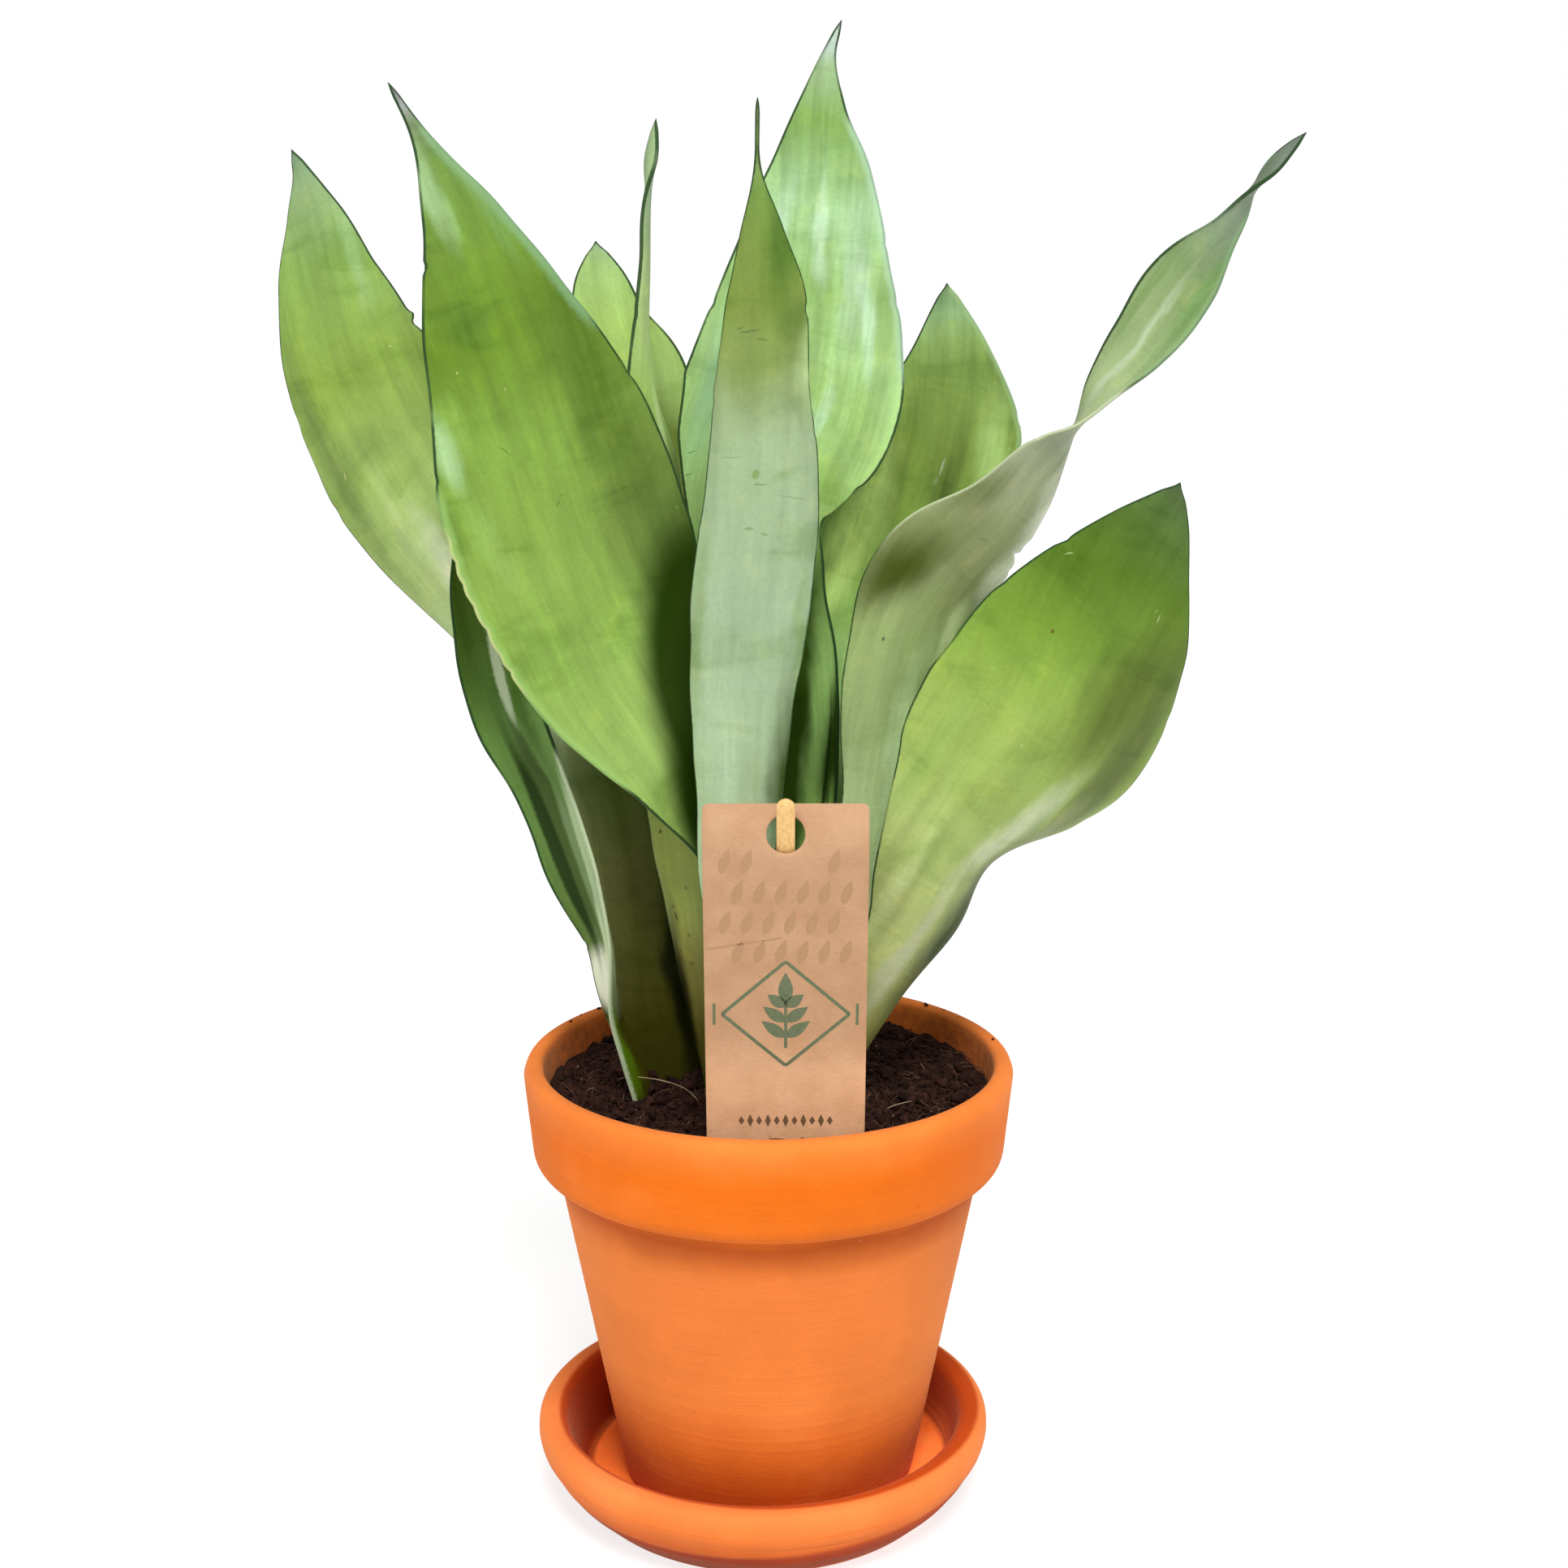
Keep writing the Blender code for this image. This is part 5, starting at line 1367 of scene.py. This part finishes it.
def long_root(start, end, rise, sway):
    """A thin root that leaves the soil and goes back into it."""
    path = []
    low, high = soil_height(*start) - ROOT_SINK, soil_height(*end) - ROOT_SINK
    for k in range(ROOT_STEPS + 1):
        t = k / ROOT_STEPS
        x = start[0] + (end[0] - start[0]) * t + sway * math.sin(2 * math.pi * t) * 0.3
        y = start[1] + (end[1] - start[1]) * t + sway * math.sin(math.pi * t)
        path.append((x, y, low + (high - low) * t + rise * math.sin(math.pi * t) ** 0.7))
    return thread(path, ROOT_RADIUS, 5)


def make_seated_crumbs(peat, base, faces):
    """Crumbs of soil left on the pot's rim."""
    heap = Heap()
    for k in range(SEATED_CRUMBS):
        a = rng.uniform(*SEATED_ARCS[k % 3])
        size = 0.15 + 0.35 * rng.uniform(0, 1) ** 2
        r = rng.uniform(POT_MOUTH_RADIUS + 0.8, POT_RIM_RADIUS - 1.6)
        points = lump((0.0, 0.0, 0.0), size, base)
        points = points + (r * math.cos(a), r * math.sin(a), POT_TOP - 0.1 - points[:, 2].min())
        heap.add(points, faces)
    heap.piece("rim_crumbs", peat, "soil")


# Card label and stick
CARD_STEP = 1.4
CARD_BEVEL = 0.12
INK = 0.02
HOLE_SIDES = 64
CORNER_STEPS = 8
LEAFLET_STEPS = 12
SPRIG_Z = 151.0
GHOST_TOP_Z = 193.0
GHOST_LINE_Z = (168.5, 171.5)
FOOT_PRINT_Z = 121.2
STICK_SIDES = 20


class Card:
    """The card's curved middle surface. A place on it is (across, along)."""

    def __init__(self):
        table = np.array(CARD_BOW, float)
        knots = path_lengths(table)
        self.length = knots[-1]
        self.at = np.linspace(0.0, self.length, 400)
        self.path = smooth(knots, table, self.at)
        along = unit(np.gradient(self.path, self.at, axis=0))
        self.out = np.stack([-along[:, 1], along[:, 0]], axis=1)
        self.hole_at = self.along_at(CARD_HOLE_Z)

    def along_at(self, z):
        """How far up the card, along its bow, a height lies."""
        return float(np.interp(z, self.path[:, 1], self.at))

    def points(self, places, lift):
        """Points for places on the card, lifted to the front by a positive distance."""
        places = np.asarray(places, float)
        at = np.clip(places[:, 1], 0.0, self.length)
        y = np.interp(at, self.at, self.path[:, 0]) + lift * np.interp(at, self.at, self.out[:, 0])
        z = np.interp(at, self.at, self.path[:, 1]) + lift * np.interp(at, self.at, self.out[:, 1])
        return np.stack([CARD_CENTRE_X + places[:, 0], y, z], axis=1)


def card_outline(length, inset):
    """The card's outline (across, along), round at its two top corners."""
    half, top, corner = CARD_WIDTH / 2 - inset, length - inset, CARD_CORNER - inset
    outline = [(-half, inset), (half, inset)]
    for middle, start in (((half - corner, top - corner), 0.0), ((corner - half, top - corner), math.pi / 2)):
        for k in range(CORNER_STEPS + 1):
            a = start + math.pi / 2 * k / CORNER_STEPS
            outline.append((middle[0] + corner * math.cos(a), middle[1] + corner * math.sin(a)))
    return outline


def divided(loop, step):
    """A closed loop of points with its long edges divided."""
    points = []
    for (x0, y0), (x1, y1) in zip(loop, loop[1:] + loop[:1]):
        parts = max(1, int(math.hypot(x1 - x0, y1 - y0) / step))
        points += [(x0 + (x1 - x0) * k / parts, y0 + (y1 - y0) * k / parts) for k in range(parts)]
    return points


def flat_sheet(loops, step):
    """Points and triangles of a flat area bounded by its first loop, with the other loops as holes."""
    points, edges = [], []
    for loop in loops:
        first = len(points)
        points += [Vector(p) for p in loop]
        edges += [(first + k, first + (k + 1) % len(loop)) for k in range(len(loop))]
    xs, ys = [p[0] for p in loops[0]], [p[1] for p in loops[0]]
    if step:
        for x in np.arange(min(xs) + step, max(xs) - step / 2, step):
            for y in np.arange(min(ys) + step, max(ys) - step / 2, step):
                near = min(math.hypot(x - p[0], y - p[1]) for loop in loops for p in loop)
                if near > 0.4 * step:
                    points.append(Vector((x, y)))
    vertices, _, faces, *_ = delaunay_2d_cdt(points, edges, [], 2, 1e-5)
    return [tuple(v) for v in vertices], [tuple(f) for f in faces]


def inside_hole(face, vertices, centre, radius):
    x = sum(vertices[v][0] for v in face) / len(face) - centre[0]
    y = sum(vertices[v][1] for v in face) / len(face) - centre[1]
    return math.hypot(x, y) < radius - 0.02


def ring_loop(centre, radius):
    turns = [2 * math.pi * k / HOLE_SIDES for k in range(HOLE_SIDES)]
    return [(centre[0] + radius * math.cos(a), centre[1] + radius * math.sin(a)) for a in turns]


def wall_faces(rows, count):
    """Faces between rows of points that each run all round."""
    faces = []
    for row in range(0, (rows - 1) * count, count):
        for k in range(count):
            n = (k + 1) % count
            faces.append((row + k, row + count + k, row + count + n, row + n))
    return faces


def make_card(card):
    """The kraft card with a punched hole, its edges slightly rounded."""
    centre = (0.0, card.hole_at)
    outer = divided(card_outline(card.length, 0.0), CARD_STEP)
    outer_in = divided(card_outline(card.length, CARD_BEVEL), CARD_STEP)
    hole, hole_in = (ring_loop(centre, CARD_HOLE_RADIUS + bevel) for bevel in (0.0, CARD_BEVEL))
    vertices, faces = flat_sheet([outer_in, hole_in], CARD_STEP)
    faces = [f for f in faces if not inside_hole(f, vertices, centre, CARD_HOLE_RADIUS + CARD_BEVEL)]
    heap = Heap()
    thick = CARD_THICKNESS / 2
    heap.add(card.points(vertices, thick), faces)
    heap.add(card.points(vertices, -thick), [f[::-1] for f in faces])
    for rim_in, rim in ((outer_in, outer), (hole_in[::-1], hole[::-1])):
        layers = [card.points(rim_in, thick), card.points(rim, thick - CARD_BEVEL)]
        layers += [card.points(rim, CARD_BEVEL - thick), card.points(rim_in, -thick)]
        heap.add(np.concatenate(layers), wall_faces(len(layers), len(rim)))
    weld(heap.piece("kraft_card", card_material(), "label_card", "label"))


def weld(obj):
    """Joins the points of a mesh that lie together."""
    bm = bmesh.new()
    bm.from_mesh(obj.data)
    bmesh.ops.remove_doubles(bm, verts=bm.verts, dist=0.02 * MM)
    bmesh.ops.recalc_face_normals(bm, faces=bm.faces)
    bm.to_mesh(obj.data)
    bm.free()


def card_material():
    """Kraft board: pink-brown paper with fibres and cloudy tone, and painted light towards its foot."""
    s = Shade("kraft_card")
    mm = s.place_mm()
    cloud = s.noise(mm, 0.12, 3.0)
    colour = s.mix(s.vary(cloud), (0.43, 0.235, 0.12), (0.48, 0.275, 0.15))
    # Painted light: the card grows up to 2.15 times lighter towards its foot, which lies in shade.
    z = s.split(mm)[2]
    colour = s.tone(colour, s.remap(z, 150.0, 116.0, 1.0, 2.15))
    fibres = s.noise(s.stretch(mm, (0.7, 0.7, 2.6)), 1.0, 3.0, 0.7)
    colour = s.tone(colour, s.vary(fibres, 0.94, 1.06))
    hair = s.noise(s.stretch(mm, (3.0, 3.0, 0.35)), 1.0, 2.0)
    colour = s.mix(s.remap(hair, 0.62, 0.72, 0.0, 0.25), colour, (0.36, 0.19, 0.1))
    normal = s.bump(fibres, 0.0001, 0.5)
    return s.finish(colour, s.vary(fibres, 0.78, 0.9), normal)


def ink_material(name, dark, pale):
    """Printing ink that lets a little of the board's tone through."""
    s = Shade(name)
    mm = s.place_mm()
    worn = s.noise(mm, 1.3, 4.0, 0.7)
    colour = s.mix(s.remap(worn, 0.35, 0.75), dark, pale)
    return s.finish(colour, s.vary(worn, 0.74, 0.88), s.bump(worn, 0.00005, 0.4))


def printed_shape(heap, card, loop):
    """One printed shape as a very thin plate on the card's front."""
    loop = divided(loop, 2.0)
    vertices, faces = flat_sheet([loop], 0)
    lift = CARD_THICKNESS / 2
    heap.add(card.points(vertices, lift + INK), faces)
    heap.add(card.points(vertices, lift - INK), [f[::-1] for f in faces])
    rim = np.concatenate([card.points(loop, lift + INK), card.points(loop, lift - INK)])
    heap.add(rim, wall_faces(2, len(loop)))


def bar(start, end, width):
    """A straight bar between two places."""
    (x0, y0), (x1, y1) = start, end
    far = math.hypot(x1 - x0, y1 - y0)
    nx, ny = -(y1 - y0) / far * width / 2, (x1 - x0) / far * width / 2
    return [(x0 - nx, y0 - ny), (x1 - nx, y1 - ny), (x1 + nx, y1 + ny), (x0 + nx, y0 + ny)]


def leaflet(base, turn, length, width):
    """A pointed leaf shape that grows from its base."""
    c, s = math.cos(math.radians(turn)), math.sin(math.radians(turn))
    edge = []
    for side in (1, -1):
        for k in range(LEAFLET_STEPS):
            t = k / LEAFLET_STEPS if side > 0 else 1 - k / LEAFLET_STEPS
            across, along = side * width / 2 * math.sin(math.pi * t**0.8), length * t
            edge.append((base[0] + across * c - along * s, base[1] + across * s + along * c))
    return edge


def sprig_shapes(card):
    """A sprig in a lozenge, with a short bar on either side."""
    middle = card.along_at(SPRIG_Z)
    corners = [(0.0, middle - 14.5), (15.5, middle), (0.0, middle + 14.5), (-15.5, middle)]
    shapes = [bar(corners[k], corners[(k + 1) % 4], 0.9) for k in range(4)]
    shapes.append(bar((0.0, middle - 9.5), (0.0, middle + 5.5), 0.8))
    shapes.append(leaflet((0.0, middle + 3.0), 0, 8.5, 3.6))
    for row, size in ((-6.5, 7.5), (-2.2, 7.0), (2.0, 5.6)):
        shapes += [leaflet((0.0, middle + row), turn, size, 3.1) for turn in (-52, 52)]
    return shapes + [bar((x, middle - 3.0), (x, middle + 3.0), 0.7) for x in (-17.4, 17.4)]


def ghost_shapes(card):
    """Four rows of pale leaf shapes round the hole, and a thin slanted line below them."""
    shapes = []
    for row in range(4):
        y = card.along_at(GHOST_TOP_Z) - 8.0 * row
        for column in range(6):
            x = -15.5 + 3.0 * (row % 2) + 5.2 * column
            if math.hypot(x, y - card.hole_at) > 8.0:
                shapes.append(leaflet((x, y - 5.0), -18, 7.0, 2.6))
    low, high = (card.along_at(z) for z in GHOST_LINE_Z)
    return shapes + [bar((-19.0, low), (-1.0, high), 0.5)]


def foot_shapes(card):
    """A row of small lozenges, every other one taller."""
    foot = card.along_at(FOOT_PRINT_Z)
    shapes = []
    for k in range(11):
        x, tall = -11.0 + 2.2 * k, 1.9 if k % 2 else 1.3
        shapes.append([(x, foot - tall), (x + 0.75, foot), (x, foot + tall), (x - 0.75, foot)])
    return shapes


def make_print(card):
    """Three generic prints on the card's front."""
    prints = (
        ("sprig_print", sprig_shapes, "green_ink", (0.095, 0.125, 0.06), (0.15, 0.165, 0.085)),
        ("ghost_print", ghost_shapes, "pale_ink", (0.37, 0.205, 0.10), (0.41, 0.23, 0.12)),
        ("foot_print", foot_shapes, "brown_ink", (0.17, 0.09, 0.04), (0.27, 0.14, 0.065)),
    )
    for name, shapes, ink, dark, pale in prints:
        heap = Heap()
        for shape in shapes(card):
            printed_shape(heap, card, shape)
        piece = heap.piece(name, ink_material(ink, dark, pale), "label_card")
        weld(piece)
        piece.data.shade_flat()


def wood_material():
    """Pale birch: grain along the stick, with fine pores."""
    s = Shade("pale_wood")
    mm = s.place_mm()
    grain = s.noise(s.stretch(mm, (2.2, 2.2, 0.12)), 1.0, 3.0, 0.6, 0.3)
    colour = s.ramp(grain, [(0.3, 0.62, 0.36, 0.12), (0.5, 0.74, 0.46, 0.17), (0.7, 0.80, 0.54, 0.24)])
    pores = s.noise(s.stretch(mm, (7.0, 7.0, 0.5)), 1.0, 2.0)
    colour = s.mix(s.remap(pores, 0.62, 0.74, 0.0, 0.4), colour, (0.40, 0.20, 0.06))
    return s.finish(colour, s.vary(grain, 0.5, 0.68), s.bump(pores, 0.00008, 0.6))


def squared(values):
    """Sines or cosines pushed outwards, which turns a circle into a rounded square."""
    return np.sign(values) * np.abs(values) ** 0.5


def stick_points():
    """Rings of points of the upright stick: rounded long edges, a rounded top and a blunt foot."""
    half, shoulder = STICK_WIDTH / 2, STICK_BELOW + STICK_ABOVE - STICK_WIDTH / 2
    foot_width, foot_height = STICK_POINT
    top = shoulder + half * np.sin(np.linspace(0.12, math.pi / 2 - 0.02, 12))
    heights = np.concatenate([np.linspace(0, foot_height, 5), np.linspace(8, shoulder, 28), top])
    over = np.clip((heights - shoulder) / half, 0, 1)
    widths = np.interp(heights, [0, foot_height], [foot_width, half]) * np.sqrt(1 - over**2 * 0.999)
    depths = STICK_THICKNESS / 2 * np.sqrt(1 - 0.75 * over**2)
    turns = np.linspace(0, 2 * math.pi, STICK_SIDES, endpoint=False)
    x = widths[:, None] * squared(np.cos(turns))
    y = depths[:, None] * squared(np.sin(turns))
    return np.stack([x, y, np.repeat(heights[:, None], STICK_SIDES, axis=1)], axis=2).reshape(-1, 3)


def make_stick():
    """The flat stick, which leans through the card's hole and down into the soil."""
    bow = np.array(CARD_BOW)
    hole_y = float(np.interp(CARD_HOLE_Z, bow[:, 1], bow[:, 0]))
    lean = math.radians(STICK_LEAN)
    c, s = math.cos(lean), math.sin(lean)
    x, y, z = stick_points().T
    foot = (CARD_CENTRE_X, hole_y + STICK_BELOW * s, CARD_HOLE_Z - STICK_BELOW * c)
    points = np.stack([x, y * c - z * s, y * s + z * c], axis=1) + foot
    faces = tube_faces(len(points) // STICK_SIDES, STICK_SIDES)
    mesh_piece("wood_stick", points, faces, wood_material(), "label_stick")


# Camera, light and floor
CAMERA_PLACE = (0.0041, -0.556, 0.319)
CAMERA_TILT = 77.7
CAMERA_LENS = 50.3
FLOOR_RADIUS = 3.0
FLOOR_SIDES = 64
SUNS = [("key", 8, 57, 2.45, 18), ("left_fill", -46, 27, 1.0, 60), ("right_fill", 50, 27, 0.8, 60)]
WORLD_STRENGTHS = (0.32, 1.0)  # as a light, and as the camera sees it


def sun(name, azimuth, elevation, strength, width):
    """A sun lamp. The azimuth is counted from the front, to the right. All angles are in degrees."""
    lamp = bpy.data.lights.new(name, "SUN")
    lamp.energy = strength
    lamp.angle = math.radians(width)
    obj = bpy.data.objects.new(name, lamp)
    a, e = math.radians(azimuth), math.radians(elevation)
    towards = Vector((math.sin(a) * math.cos(e), -math.cos(a) * math.cos(e), math.sin(e)))
    obj.rotation_euler = (-towards).to_track_quat("-Z", "Y").to_euler()
    obj.location = towards * 2.0
    bpy.context.scene.collection.objects.link(obj)


def make_world():
    """Dim white surroundings that the camera sees as a white backdrop."""
    world = bpy.data.worlds.new("studio")
    world.use_nodes = True
    tree = world.node_tree
    background = tree.nodes["Background"]
    background.inputs["Color"].default_value = (1.0, 1.0, 1.0, 1.0)
    seen = tree.nodes.new("ShaderNodeLightPath")
    strength = tree.nodes.new("ShaderNodeMapRange")
    strength.inputs["To Min"].default_value, strength.inputs["To Max"].default_value = WORLD_STRENGTHS
    tree.links.new(seen.outputs["Is Camera Ray"], strength.inputs["Value"])
    tree.links.new(strength.outputs[0], background.inputs["Strength"])
    bpy.context.scene.world = world


def make_floor():
    """A plain pale round floor."""
    s = Shade("studio_floor")
    s.own({"Emission Color": (1.0, 1.0, 1.0, 1.0), "Emission Strength": 0.74, "Specular IOR Level": 0.0})
    cloud = s.vary(s.noise(s.place_mm(), 0.01))
    material = s.finish(s.mix(cloud, (0.34, 0.34, 0.33), (0.36, 0.36, 0.36)), 0.9)
    mesh = bpy.data.meshes.new("studio_floor")
    turns = [2 * math.pi * k / FLOOR_SIDES for k in range(FLOOR_SIDES)]
    edge = [(FLOOR_RADIUS * math.cos(a), FLOOR_RADIUS * math.sin(a), 0.0) for a in turns]
    mesh.from_pydata(edge, [], [tuple(range(FLOOR_SIDES))])
    mesh.materials.append(material)
    obj = bpy.data.objects.new("studio_floor", mesh)
    bpy.context.scene.collection.objects.link(obj)


def make_studio():
    """The camera at the photograph's place, a soft key light with two fills, and a white room."""
    data = bpy.data.cameras.new("camera")
    data.lens = CAMERA_LENS
    data.sensor_width = 36.0
    camera = bpy.data.objects.new("camera", data)
    camera.location = CAMERA_PLACE
    camera.rotation_euler = (math.radians(CAMERA_TILT), 0.0, 0.0)
    bpy.context.scene.collection.objects.link(camera)
    bpy.context.scene.camera = camera
    bpy.context.scene.view_settings.view_transform = "Standard"
    for lamp in SUNS:
        sun(*lamp)
    make_world()
    make_floor()


def main():
    make_studio()
    for seed, (node, stations) in enumerate(LEAVES.items()):
        look = LOOKS[node]
        make_blade(node, stations, look, leaf_material(node + "_skin", look, 37.0 * seed + 5.0))
    make_saucer()
    make_pot()
    make_soil()
    card = Card()
    make_card(card)
    make_print(card)
    make_stick()


main()
